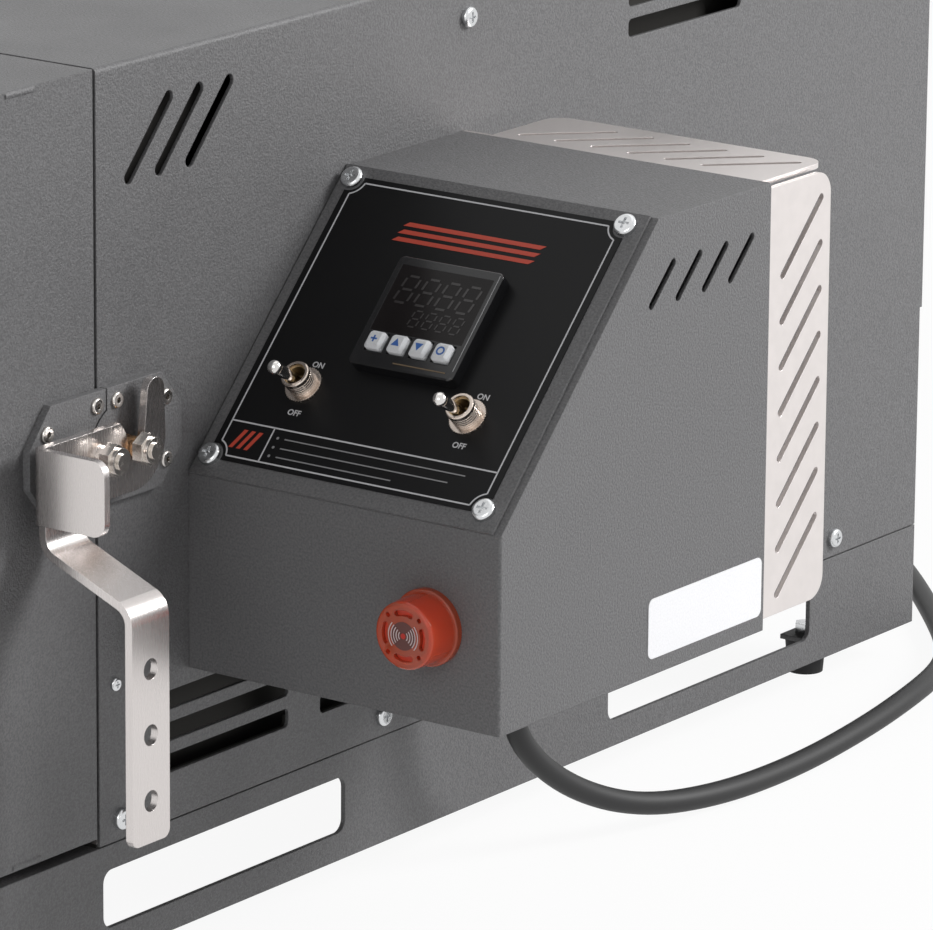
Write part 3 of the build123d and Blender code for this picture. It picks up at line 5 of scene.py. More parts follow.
import bmesh
import bpy
from mathutils import Matrix, Vector


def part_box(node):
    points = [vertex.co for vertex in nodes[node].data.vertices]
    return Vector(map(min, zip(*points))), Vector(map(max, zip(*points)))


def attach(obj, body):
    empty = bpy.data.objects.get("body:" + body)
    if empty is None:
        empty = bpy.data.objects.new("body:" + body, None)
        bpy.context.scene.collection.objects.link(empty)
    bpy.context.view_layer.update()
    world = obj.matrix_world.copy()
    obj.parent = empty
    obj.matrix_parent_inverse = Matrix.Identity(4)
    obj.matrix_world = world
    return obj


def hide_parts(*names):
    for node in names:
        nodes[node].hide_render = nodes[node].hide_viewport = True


bl_info = {
    "name": "Bench Heat Treat Oven",
    "version": (1, 0, 0),
    "blender": (4, 5, 0),
    "location": "View3D > Sidebar > Oven",
    "description": "Finishes and fine pieces of a bench heat treat oven",
    "category": "Object",
}

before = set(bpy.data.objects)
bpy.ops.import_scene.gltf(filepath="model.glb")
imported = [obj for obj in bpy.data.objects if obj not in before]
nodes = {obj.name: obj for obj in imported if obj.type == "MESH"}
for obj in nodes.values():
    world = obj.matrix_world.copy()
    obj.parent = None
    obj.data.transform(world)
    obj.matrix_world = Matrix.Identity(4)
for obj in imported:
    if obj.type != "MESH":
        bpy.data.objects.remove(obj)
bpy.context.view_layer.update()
MM = 0.001

# Places on the control box, worked out from the frame
box_low, box_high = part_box("control_box")
FRONT_HEIGHT = 75.6 * MM
SLOPE_RUN = 97.7 * MM
SLOPE_FOOT = Vector((box_low.x, box_low.y, box_low.z + FRONT_HEIGHT))
SLOPE_UP = Vector((0, SLOPE_RUN, box_high.z - box_low.z - FRONT_HEIGHT)).normalized()
SLOPE_OUT = Vector((0, -SLOPE_UP.z, SLOPE_UP.y))
PANEL_FACE = 1.6 * MM
BEZEL_FACE = 7.6 * MM
KEY_FACE = 10.2 * MM
PRINT_LIFT = 0.06 * MM
PRINT_THICK = 0.05 * MM


# Finishes

def new_finish(name, colour, roughness, metallic=0.0):
    """Material with its shader set, ready for grain."""
    material = bpy.data.materials.new(name)
    material.use_nodes = True
    shader = material.node_tree.nodes["Principled BSDF"]
    shader.inputs["Base Color"].default_value = (*colour, 1)
    shader.inputs["Roughness"].default_value = roughness
    shader.inputs["Metallic"].default_value = metallic
    material.diffuse_color = (*colour, 1)
    return material, shader


def grain(material, size, detail=2.0, stretch=(1, 1, 1)):
    """Noise whose lumps have the given real size; returns its value socket."""
    tree = material.node_tree
    place = tree.nodes.new("ShaderNodeTexCoord")
    scale = tree.nodes.new("ShaderNodeMapping")
    scale.inputs["Scale"].default_value = stretch
    noise = tree.nodes.new("ShaderNodeTexNoise")
    noise.inputs["Scale"].default_value = 1 / size
    noise.inputs["Detail"].default_value = detail
    tree.links.new(place.outputs["Object"], scale.inputs["Vector"])
    tree.links.new(scale.outputs["Vector"], noise.inputs["Vector"])
    return noise.outputs["Fac"]


def spread(material, value, low, high, low_out, high_out):
    """Maps a value onto a range."""
    node = material.node_tree.nodes.new("ShaderNodeMapRange")
    node.inputs["From Min"].default_value = low
    node.inputs["From Max"].default_value = high
    node.inputs["To Min"].default_value = low_out
    node.inputs["To Max"].default_value = high_out
    material.node_tree.links.new(value, node.inputs["Value"])
    return node.outputs["Result"]


def tint(material, shader, value, dark, light):
    """Varies the base colour between two tones."""
    tree = material.node_tree
    mix = tree.nodes.new("ShaderNodeMix")
    mix.data_type = "RGBA"
    mix.inputs["A"].default_value = (*dark, 1)
    mix.inputs["B"].default_value = (*light, 1)
    tree.links.new(value, mix.inputs["Factor"])
    tree.links.new(mix.outputs["Result"], shader.inputs["Base Color"])


def emboss(material, shader, value, height, edge=0.0):
    """Bump of a real height, over softly rounded edges."""
    tree = material.node_tree
    bump = tree.nodes.new("ShaderNodeBump")
    bump.inputs["Distance"].default_value = height
    tree.links.new(value, bump.inputs["Height"])
    if edge:
        rounded = tree.nodes.new("ShaderNodeBevel")
        rounded.samples = 4
        rounded.inputs["Radius"].default_value = edge
        tree.links.new(rounded.outputs["Normal"], bump.inputs["Normal"])
    tree.links.new(bump.outputs["Normal"], shader.inputs["Normal"])


def shade(colour, factor):
    return tuple(min(1.0, channel * factor) for channel in colour)


def powder_coat(name, colour):
    """Fine textured powder coat: small speckle, orange peel and slight cloudiness."""
    material, shader = new_finish(name, colour, 0.5)
    speckle = grain(material, 0.9 * MM, 3)
    tone = spread(material, speckle, 0.35, 0.68, 0, 1)
    tint(material, shader, tone, shade(colour, 0.8), shade(colour, 1.22))
    gloss = spread(material, grain(material, 60 * MM, 2), 0.3, 0.7, 0.44, 0.56)
    material.node_tree.links.new(gloss, shader.inputs["Roughness"])
    emboss(material, shader, speckle, 0.34 * MM, 0.7 * MM)
    return material


def brushed(name, colour, roughness, stretch, edge=0.3 * MM):
    """Rolled or brushed metal with fine lines along one axis."""
    material, shader = new_finish(name, colour, roughness, 1.0)
    lines = grain(material, 0.25 * MM, 2, stretch)
    tint(material, shader, lines, shade(colour, 0.95), shade(colour, 1.04))
    rough = spread(material, lines, 0.3, 0.7, roughness * 0.93, roughness * 1.08)
    material.node_tree.links.new(rough, shader.inputs["Roughness"])
    emboss(material, shader, lines, 0.0006 * MM, edge)
    return material


def plated(name, colour, roughness):
    """Bright plating with faint wear."""
    material, shader = new_finish(name, colour, roughness, 1.0)
    wear = grain(material, 2.5 * MM, 3)
    tint(material, shader, wear, shade(colour, 0.9), shade(colour, 1.05))
    rough = spread(material, wear, 0.3, 0.7, roughness * 0.7, roughness * 1.5)
    material.node_tree.links.new(rough, shader.inputs["Roughness"])
    emboss(material, shader, wear, 0.003 * MM, 0.2 * MM)
    return material


def moulded(name, colour, roughness, size=0.4 * MM, height=0.01 * MM, coat=0.0):
    """Moulded plastic or rubber with a fine skin."""
    material, shader = new_finish(name, colour, roughness)
    skin = grain(material, size, 2)
    tint(material, shader, skin, shade(colour, 0.9), shade(colour, 1.1))
    emboss(material, shader, skin, height, 0.3 * MM)
    shader.inputs["Coat Weight"].default_value = coat
    shader.inputs["Coat Roughness"].default_value = 0.08
    return material


def insulating_brick(name, colour):
    """Soft firebrick: cream body with pores and crumbs."""
    material, shader = new_finish(name, colour, 0.95)
    crumbs = grain(material, 2.2 * MM, 5)
    tint(material, shader, spread(material, crumbs, 0.35, 0.6, 0, 1), shade(colour, 0.72), colour)
    tree = material.node_tree
    place = tree.nodes.new("ShaderNodeTexCoord")
    pores = tree.nodes.new("ShaderNodeTexVoronoi")
    pores.inputs["Scale"].default_value = 1 / (3.0 * MM)
    tree.links.new(place.outputs["Object"], pores.inputs["Vector"])
    deep = spread(material, pores.outputs["Distance"], 0.0, 0.35, 0, 1)
    emboss(material, shader, deep, 0.5 * MM, 0.8 * MM)
    return material


def printed(name, colour, roughness=0.45):
    """Screen print ink with a faint mottle; also used for the painted highlight on the bezel."""
    material, shader = new_finish(name, colour, roughness)
    mottle = grain(material, 0.6 * MM, 2)
    tint(material, shader, mottle, shade(colour, 0.94), shade(colour, 1.05))
    return material


def paint(material, *names):
    """Gives CAD nodes a finish."""
    for name in names:
        nodes[name].data.materials.clear()
        nodes[name].data.materials.append(material)


# Meshes

def add_piece(name, mesh, material, body):
    piece = bpy.data.objects.new(name, mesh)
    bpy.context.scene.collection.objects.link(piece)
    mesh.materials.append(material)
    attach(piece, body)
    return piece


def on_slope(x, t, h):
    """Point on the slanted panel: x across, t up, h out of it, in millimetres."""
    return SLOPE_FOOT + Vector((x * MM, 0, 0)) + SLOPE_UP * (t * MM) + SLOPE_OUT * h


def flat_shapes(name, outlines, h, material, body="cabinet"):
    """Thin printed shapes on the slanted panel, each an outline of (x, t) points."""
    form = bmesh.new()
    for outline in outlines:
        low = [form.verts.new(on_slope(x, t, h)) for x, t in outline]
        high = [form.verts.new(on_slope(x, t, h + PRINT_THICK)) for x, t in outline]
        form.faces.new(high)
        form.faces.new(low[::-1])
        for i in range(len(outline)):
            j = (i + 1) % len(outline)
            form.faces.new((low[i], low[j], high[j], high[i]))
    bmesh.ops.recalc_face_normals(form, faces=form.faces)
    mesh = bpy.data.meshes.new(name)
    form.to_mesh(mesh)
    form.free()
    return add_piece(name, mesh, material, body)


def bar(x0, t0, x1, t1, width):
    """Outline of a straight line of a given width."""
    way = Vector((x1 - x0, t1 - t0)).normalized() * width / 2
    side = Vector((-way.y, way.x))
    return [(x0 - side.x, t0 - side.y), (x1 - side.x, t1 - side.y),
            (x1 + side.x, t1 + side.y), (x0 + side.x, t0 + side.y)]


def ring_bits(x, t, radius, width, start, turn, steps):
    """Outlines that make an arc of a given width."""
    bits = []
    for i in range(steps):
        a, b = (math.radians(start + turn * k / steps) for k in (i, i + 1))
        inner, outer = radius - width / 2, radius + width / 2
        bits.append([(x + inner * math.cos(a), t + inner * math.sin(a)),
                     (x + outer * math.cos(a), t + outer * math.sin(a)),
                     (x + outer * math.cos(b), t + outer * math.sin(b)),
                     (x + inner * math.cos(b), t + inner * math.sin(b))])
    return bits


def disc(x, t, radius, corners):
    angles = [2 * math.pi * i / corners for i in range(corners)]
    return [(x + radius * math.cos(a), t + radius * math.sin(a)) for a in angles]


def panel_word(name, word, x, t, size, material):
    """Small word printed on the panel, centred on a point."""
    text = bpy.data.curves.new(name, "FONT")
    text.body = word
    text.size = size * MM
    text.align_x = "CENTER"
    text.align_y = "CENTER"
    text.extrude = PRINT_THICK
    text.offset = 0.06 * MM
    text.resolution_u = 3
    turned = Matrix((Vector((1, 0, 0)), SLOPE_UP, SLOPE_OUT)).transposed().to_4x4()
    turned.translation = on_slope(x, t, PANEL_FACE + PRINT_LIFT)
    source = bpy.data.objects.new(name + "_source", text)
    bpy.context.scene.collection.objects.link(source)
    bpy.context.view_layer.update()
    mesh = bpy.data.meshes.new_from_object(source)
    mesh.name = name
    mesh.transform(turned)
    bpy.data.objects.remove(source)
    mesh.materials.clear()
    return add_piece(name, mesh, material, "cabinet")


# Settings that a user would change

def colour_setting(name, description, default):
    return bpy.props.FloatVectorProperty(name=name, description=description, subtype="COLOR", size=3,
                                         default=default)


def length_setting(name, description, default):
    return bpy.props.FloatProperty(name=name, description=description, unit="LENGTH", precision=5,
                                   default=default)


class OvenColours(bpy.types.PropertyGroup):
    grey: colour_setting("Paint", "Colour of the textured powder coat", (0.122, 0.121, 0.124))
    steel: colour_setting("Stainless", "Colour of the stainless pieces", (0.67, 0.63, 0.615))
    panel: colour_setting("Panel", "Colour of the overlay on the slope", (0.007, 0.007, 0.0075))
    ink: colour_setting("Ink", "Colour of the panel print", (0.62, 0.62, 0.64))
    stripe: colour_setting("Stripes", "Colour of the panel's stripes", (0.55, 0.065, 0.035))
    lamp: colour_setting("Lamp", "Colour of the sounder lamp's lens", (0.95, 0.15, 0.06))
    brick: colour_setting("Brick", "Colour of the firebrick", (0.84, 0.78, 0.67))


class OvenSizes(bpy.types.PropertyGroup):
    coil_wire: length_setting("Coil wire", "Thickness of the heating wire", 1.4 * MM)
    coil_step: length_setting("Coil pitch", "Distance between the wire's turns", 5.5 * MM)
    border_line: length_setting("Border line", "Width of the panel's border", 0.62 * MM)
    background: bpy.props.FloatProperty(name="Background", description="Strength of the white background",
                                        default=1.0)


def colours():
    return bpy.context.scene.oven_colours


def sizes():
    return bpy.context.scene.oven_sizes


# Operators

class OVEN_OT_sheets(bpy.types.Operator):
    """Powder coat on the cabinet, door, stand and control box"""
    bl_idname = "oven.sheets"
    bl_label = "Painted sheets"

    def execute(self, context):
        grey = tuple(colours().grey)
        paint(powder_coat("powder_coat", grey), "outer_wrapper", "rear_panel", "door_shell",
              "stand_side_rails", "stand_front_rail", "stand_rear_rail", "control_box", "control_lid")
        paint(powder_coat("plate_coat", shade(grey, 1.15)), "latch_plate", "strike_plate")
        return {"FINISHED"}


class OVEN_OT_steel(bpy.types.Operator):
    """Stainless steel lever, rear sheet, liner, fascia and hinges"""
    bl_idname = "oven.steel"
    bl_label = "Stainless pieces"

    def execute(self, context):
        steel = tuple(colours().steel)
        paint(brushed("lever_steel", steel, 0.26, (1, 1, 0.03)), "latch_lever")
        paint(brushed("sheet_steel", shade(steel, 1.15), 0.34, (1, 0.05, 0.05)), "rear_shield")
        paint(brushed("mill_steel", shade(steel, 0.95), 0.34, (0.05, 1, 1)), "front_fascia", "door_frame")
        paint(brushed("dark_liner", (0.06, 0.058, 0.055), 0.6, (0.05, 1, 1)), "inner_liner", "liner_rails",
              "base_pan")
        paint(brushed("hinge_steel", shade(steel, 0.9), 0.32, (1, 1, 0.05)), "hinge_leaves",
              "door_hinge_leaves", "thermocouple")
        return {"FINISHED"}


class OVEN_OT_fasteners(bpy.types.Operator):
    """Plated screws, bolts, nuts and rivets, and the brass roller"""
    bl_idname = "oven.fasteners"
    bl_label = "Fasteners"

    def execute(self, context):
        paint(plated("zinc_plate", (0.68, 0.69, 0.70), 0.2), "cabinet_screws", "door_hinge_screws",
              "lid_screws", "foot_screws", "hinge_pins")
        paint(plated("bolt_plate", (0.70, 0.66, 0.62), 0.2), "roller_bolt", "roller_nut", "pivot_bolt",
              "pivot_nut", "pivot_sleeve")
        paint(plated("rivet_steel", (0.66, 0.63, 0.60), 0.26), "latch_rivets", "strike_rivets")
        paint(plated("roller_brass", (0.52, 0.31, 0.17), 0.26), "latch_roller")
        return {"FINISHED"}


class OVEN_OT_brickwork(bpy.types.Operator):
    """Insulating firebrick of the chamber and the door"""
    bl_idname = "oven.brickwork"
    bl_label = "Brickwork"

    def execute(self, context):
        brick = insulating_brick("firebrick", tuple(colours().brick))
        paint(brick, "brick_slabs", "brick_sides", "brick_rear", "door_brick")
        paint(moulded("ceramic", (0.75, 0.72, 0.66), 0.35), "element_terminals")
        return {"FINISHED"}


class OVEN_OT_elements(bpy.types.Operator):
    """Wound heating wire in the grooves of the side walls"""
    bl_idname = "oven.elements"
    bl_label = "Heating elements"

    radius = 4.5 * MM
    rows = 4
    rear_gap = 95 * MM              # from the rows' rear ends to the ends of the leads
    steps = 8

    def execute(self, context):
        wire = plated("element_wire", (0.20, 0.17, 0.15), 0.5)
        low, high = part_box("heating_elements")
        made = [self.wind(side, low, high, wire) for side in (-1, 1)]
        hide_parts("heating_elements")
        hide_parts("heating_elements")
        return {"FINISHED"}

    def wind(self, side, low, high, wire):
        """One wound wire that follows the rod's path up the wall."""
        radius = self.radius
        x = high.x - radius if side > 0 else low.x + radius
        pitch = (high.z - low.z - 2 * radius) / (self.rows - 1)
        front, rear = low.y + radius, high.y - self.rear_gap
        path = [(high.y, low.z + radius)]
        for i in range(self.rows):
            z = low.z + radius + i * pitch
            ends = (rear, front) if i % 2 == 0 else (front, rear)
            path += [(ends[0], z), (ends[1], z)]
        path.append((high.y, high.z - radius))
        line = bpy.data.curves.new("element", "CURVE")
        line.dimensions = "3D"
        line.bevel_depth = sizes().coil_wire / 2
        line.bevel_resolution = 1
        spline = line.splines.new("POLY")
        points = self.helix(x, path, radius - sizes().coil_wire / 2)
        spline.points.add(len(points) - 1)
        for point, place in zip(spline.points, points):
            point.co = (*place, 1)
        source = bpy.data.objects.new("element_source", line)
        bpy.context.scene.collection.objects.link(source)
        bpy.context.view_layer.update()
        mesh = bpy.data.meshes.new_from_object(source)
        bpy.data.objects.remove(source)
        mesh.materials.clear()
        name = "heating_wire_right" if side > 0 else "heating_wire_left"
        return add_piece(name, mesh, wire, "cabinet")

    def helix(self, x, path, radius):
        """Points of a helix about a path of straight runs in the wall's plane."""
        points = []
        turn = 0.0
        across = Vector((1, 0, 0))
        stride = sizes().coil_step / self.steps
        for (y0, z0), (y1, z1) in zip(path, path[1:]):
            run = Vector((0, y1 - y0, z1 - z0))
            if run.length < stride:
                continue
            way = run.normalized()
            side = across.cross(way)
            count = int(run.length / stride)
            for k in range(count):
                centre = Vector((x, y0, z0)) + way * (k * stride)
                angle = turn + 2 * math.pi * k / self.steps
                points.append(centre + radius * (across * math.cos(angle) + side * math.sin(angle)))
            turn += 2 * math.pi * count / self.steps
        return points


class OVEN_OT_panel(bpy.types.Operator):
    """Black overlay on the slope with its border, stripes and words"""
    bl_idname = "oven.panel"
    bl_label = "Panel print"

    # Millimetres across and up the slope
    left, right, bottom, top = 8.4, 130.6, 9.6, 132.4
    middle = (69, 71)
    screws = ((6.35, 8.65), (132.65, 8.65), (132.65, 133.75), (6.35, 133.75))
    bite = 7.0                      # radius of the border round a screw
    divider = 24.5
    split = 28.5
    rules = ((20.6, 118), (16.6, 112), (12.8, 88))      # height and end of each ruled line
    rule_start = 35
    rule_width = 0.5
    dot_x = 31.8
    dot_radius = 0.6
    bars = ((39, 102, 117.6, 119.4), (38, 101, 114.2, 116.0), (37, 100, 110.8, 112.6))
    bar_lean = 2.2
    mark_places = (12.5, 16.0, 19.5)
    mark_low, mark_high = 13.2, 21.4
    mark_width, mark_lean = 1.8, 3.4
    switches = (("power", 33.2), ("heat", 109.2))
    on_height, off_height = 53.4, 32.1
    word_size = 3.4

    def execute(self, context):
        overlay = moulded("overlay", tuple(colours().panel), 0.36, size=0.5 * MM, height=0.004 * MM)
        overlay.node_tree.nodes["Principled BSDF"].inputs["Specular IOR Level"].default_value = 0.16
        paint(overlay, "panel_overlay")
        ink = printed("white_ink", tuple(colours().ink))
        width = sizes().border_line / MM
        level = PANEL_FACE + PRINT_LIFT
        flat_shapes("panel_border", self.border(width), level, ink)
        across = bar(self.left, self.divider, self.right, self.divider, width)
        up = bar(self.split, self.bottom, self.split, self.divider, width)
        flat_shapes("panel_divider", [across, up], level, ink)
        lines = [bar(self.rule_start, t, end, t, self.rule_width) for t, end in self.rules]
        dots = [disc(self.dot_x, t, self.dot_radius, 10) for t, end in self.rules]
        flat_shapes("panel_rules", lines + dots, level, printed("faint_ink", shade(colours().ink, 0.45)))
        stripe = printed("red_ink", tuple(colours().stripe))
        flat_shapes("panel_stripes", self.stripes(), level, stripe)
        flat_shapes("corner_mark", self.corner_mark(), level, stripe)
        for name, x in self.switches:
            panel_word(name + "_on", "ON", x, self.on_height, self.word_size, ink)
            panel_word(name + "_off", "OFF", x, self.off_height, self.word_size, ink)
        return {"FINISHED"}

    def border(self, width):
        """Border lines with a bite round each lid screw."""
        reach = []
        for x, t in self.screws:
            side = self.left if x < self.middle[0] else self.right
            edge = self.bottom if t < self.middle[1] else self.top
            rise = math.sqrt(self.bite ** 2 - (side - x) ** 2)
            run = math.sqrt(self.bite ** 2 - (edge - t) ** 2)
            reach.append((side, t + math.copysign(rise, self.middle[1] - t),
                          x + math.copysign(run, self.middle[0] - x), edge))
        low_left, low_right, top_right, top_left = reach
        bits = [bar(low_left[2], self.bottom, low_right[2], self.bottom, width),
                bar(top_left[2], self.top, top_right[2], self.top, width),
                bar(self.left, low_left[1], self.left, top_left[1], width),
                bar(self.right, low_right[1], self.right, top_right[1], width)]
        for (x, t), (side, t_end, x_end, edge) in zip(self.screws, reach):
            start = math.degrees(math.atan2(edge - t, x_end - x))
            end = math.degrees(math.atan2(t_end - t, side - x))
            turn = (end - start + 180) % 360 - 180
            bits += ring_bits(x, t, self.bite, width, start, turn, 10)
        return bits

    def stripes(self):
        """Plain slanted red bars in place of lettering."""
        lean = self.bar_lean
        return [[(x0, t0), (x1, t0), (x1 + lean, t1), (x0 + lean, t1)] for x0, x1, t0, t1 in self.bars]

    def corner_mark(self):
        """Three short slanted bars in the lower left field."""
        low, high, width, lean = self.mark_low, self.mark_high, self.mark_width, self.mark_lean
        return [[(x, low), (x + width, low), (x + lean + width, high), (x + lean, high)]
                for x in self.mark_places]


class OVEN_OT_controller(bpy.types.Operator):
    """Controller housing, dark window with unlit segments, and marked keys"""
    bl_idname = "oven.controller"
    bl_label = "Controller"

    # Millimetres on the slope; the rest are from the middle
    middle = (73.0, 78.3)
    # Start across and up, digit width and height, step from digit to digit
    big_digits = (-17.5, 4.2, 6.2, 11.6, 9.4)
    small_digits = (-6.3, -5.0, 3.9, 7.0, 6.3)
    digit_count = 4
    digit_lean = 0.12
    stroke_share = 0.16
    # Painted highlight: a thin light grey bar along the bezel's right edge stands in for the light that
    # edge catches
    highlight_x = 22.8
    edge_low, edge_high = -20.0, 22.4
    edge_width = 0.35
    field_left, field_right, field_height = -4, 20, -21.2
    field_width = 0.5
    first_key = (-15.3, -13.7)

    def execute(self, context):
        paint(moulded("housing_black", (0.008, 0.008, 0.009), 0.2, coat=0.1), "controller")
        window, shader = new_finish("window_dark", (0.010, 0.008, 0.008), 0.16)
        shader.inputs["Specular IOR Level"].default_value = 0.2
        emboss(window, shader, grain(window, 8 * MM, 1), 0.01 * MM)
        paint(window, "display_window")
        keys = moulded("key_white", (0.72, 0.73, 0.75), 0.35, size=0.5 * MM, height=0.008 * MM)
        paint(keys, "key_1", "key_2", "key_3", "key_4")
        unlit = printed("unlit_segment", (0.030, 0.026, 0.026), 0.2)
        level = BEZEL_FACE + PRINT_LIFT
        digits = self.digits(*self.big_digits) + self.digits(*self.small_digits)
        flat_shapes("unlit_digits", digits, level, unlit)
        self.mark_keys(printed("key_blue", (0.03, 0.12, 0.40)))
        x, t = self.middle
        # Painted highlight along the bezel's right edge: a light grey bar in place of light caught on the
        # edge
        painted_highlight = bar(x + self.highlight_x, t + self.edge_low, x + self.highlight_x, t + self.edge_high,
                    self.edge_width)
        flat_shapes("bezel_painted_highlight", [painted_highlight], level, printed("bezel_highlight_paint", (0.35, 0.35, 0.36), 0.2))
        field = bar(x + self.field_left, t + self.field_height, x + self.field_right,
                    t + self.field_height, self.field_width)
        flat_shapes("name_field", [field], level, printed("faint_gold", (0.16, 0.11, 0.06)))
        return {"FINISHED"}

    def digits(self, right, up, width, height, step):
        """Outlines of seven segment digits, leaning a little."""
        t = self.middle[1] + up
        thick = width * self.stroke_share
        lean = self.digit_lean
        shapes = []
        for i in range(self.digit_count):
            left = self.middle[0] + right + i * step
            levels = (0, height / 2, height)
            for level in levels:
                shapes.append(bar(left + thick + lean * level, t + level,
                                  left + width - thick + lean * level, t + level, thick))
            for low, high in zip(levels, levels[1:]):
                for side in (0, width):
                    shapes.append(bar(left + side + lean * low, t + low + thick,
                                      left + side + lean * high, t + high - thick, thick))
        return shapes

    def mark_keys(self, blue):
        """A plain mark on each key: bar, triangle up, triangle down, ring."""
        first = self.middle[0] + self.first_key[0]
        t = self.middle[1] + self.first_key[1]
        level = KEY_FACE + 0.02 * MM
        marks = [[bar(first - 1.4, t, first + 1.4, t, 0.7), bar(first, t - 1.4, first, t + 1.4, 0.7)],
                 [[(first + 8.4, t - 1.4), (first + 12.0, t - 1.4), (first + 10.2, t + 1.8)]],
                 [[(first + 18.6, t + 1.4), (first + 20.4, t - 1.8), (first + 22.2, t + 1.4)]],
                 ring_bits(first + 30.6, t, 1.5, 0.7, 0, 360, 18)]
        for i, outlines in enumerate(marks):
            number = str(i + 1)
            flat_shapes("key_mark_" + number, outlines, level, blue, "key" + number)


class OVEN_OT_switches(bpy.types.Operator):
    """Plated toggle switches"""
    bl_idname = "oven.switches"
    bl_label = "Toggle switches"

    def execute(self, context):
        paint(plated("nut_plate", (0.62, 0.54, 0.48), 0.22), "toggle_nuts")
        paint(plated("bushing_plate", (0.50, 0.38, 0.22), 0.3), "toggle_bodies")
        paint(plated("bat_chrome", (0.70, 0.68, 0.66), 0.1), "power_toggle", "heat_toggle")
        return {"FINISHED"}


class OVEN_OT_lamp(bpy.types.Operator):
    """Red sounder lamp with the pattern printed on its face"""
    bl_idname = "oven.lamp"
    bl_label = "Sounder lamp"

    print_gap = 0.15 * MM
    arc_count = 5
    arc_first, arc_step, arc_width = 2.0 * MM, 1.15 * MM, 0.42 * MM
    arc_starts = (-42, 138)
    arc_turn = 84
    disc_radius = 5.4 * MM
    disc_behind = 0.07 * MM
    dot_radius = 1.1 * MM

    def execute(self, context):
        red = tuple(colours().lamp)
        lens, shader = new_finish("lens_red", red, 0.06)
        shader.inputs["Transmission Weight"].default_value = 0.6
        shader.inputs["IOR"].default_value = 1.45
        emboss(lens, shader, grain(lens, 3 * MM, 2), 0.02 * MM, 0.4 * MM)
        paint(lens, "lamp_lens")
        paint(moulded("sounder_red", (0.62, 0.07, 0.035), 0.4), "lamp_body")
        self.face_pattern()
        return {"FINISHED"}

    def face_pattern(self):
        """Concentric arcs left and right of a small dot, on the sounder's front."""
        low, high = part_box("lamp_lens")
        centre = Vector(((low.x + high.x) / 2, low.y - self.print_gap, (low.z + high.z) / 2))
        radii = [self.arc_first + ring * self.arc_step for ring in range(self.arc_count)]
        arcs = [(radius, self.arc_width, start, self.arc_turn)
                for radius in radii for start in self.arc_starts]
        self.flat_rings("lamp_arcs", centre, arcs, printed("lamp_white", (0.62, 0.50, 0.50)),
                        "white_plastic")
        self.flat_rings("lamp_disc", centre + Vector((0, self.disc_behind, 0)),
                        [(self.disc_radius / 2, self.disc_radius, 0, 360)],
                        moulded("disc_dark", (0.11, 0.028, 0.022), 0.25), "dark_plastic")
        self.flat_rings("lamp_dot", centre, [(self.dot_radius / 2, self.dot_radius, 0, 360)],
                        printed("lamp_dot_red", (0.5, 0.02, 0.01)), "red_lens")

    def flat_rings(self, name, centre, arcs, material, slot):
        """Flat arcs about a centre, each with its middle radius, width, start and turn."""
        form = bmesh.new()
        for arc in arcs:
            self.add_arc(form, centre, *arc)
        mesh = bpy.data.meshes.new(name)
        form.to_mesh(mesh)
        form.free()
        add_piece(name, mesh, material, "cabinet")

    def add_arc(self, form, centre, radius, width, start, turn):
        steps = 24
        ends = []
        for i in range(steps + 1):
            angle = math.radians(start + turn * i / steps)
            way = Vector((math.cos(angle), 0, math.sin(angle)))
            ends.append([form.verts.new(centre + way * (radius + side * width / 2)) for side in (-1, 1)])
        for a, b in zip(ends, ends[1:]):
            form.faces.new((a[0], a[1], b[1], b[0]))


class OVEN_OT_small_parts(bpy.types.Operator):
    """Label, feet, gland, plug, relay and terminal block"""
    bl_idname = "oven.small_parts"
    bl_label = "Small parts"

    def execute(self, context):
        paint(moulded("label_vinyl", (0.80, 0.80, 0.82), 0.35, size=0.8 * MM, height=0.006 * MM),
              "label_plate")
        paint(moulded("foot_rubber", (0.012, 0.012, 0.013), 0.75, size=0.8 * MM, height=0.03 * MM),
              "feet")
        paint(moulded("gland_black", (0.014, 0.014, 0.015), 0.5), "cord_gland")
        paint(moulded("plug_black", (0.014, 0.014, 0.015), 0.55, size=0.7 * MM, height=0.02 * MM),
              "cord_plug")
        paint(moulded("relay_body", (0.70, 0.70, 0.67), 0.4), "relay", "terminal_block")
        return {"FINISHED"}


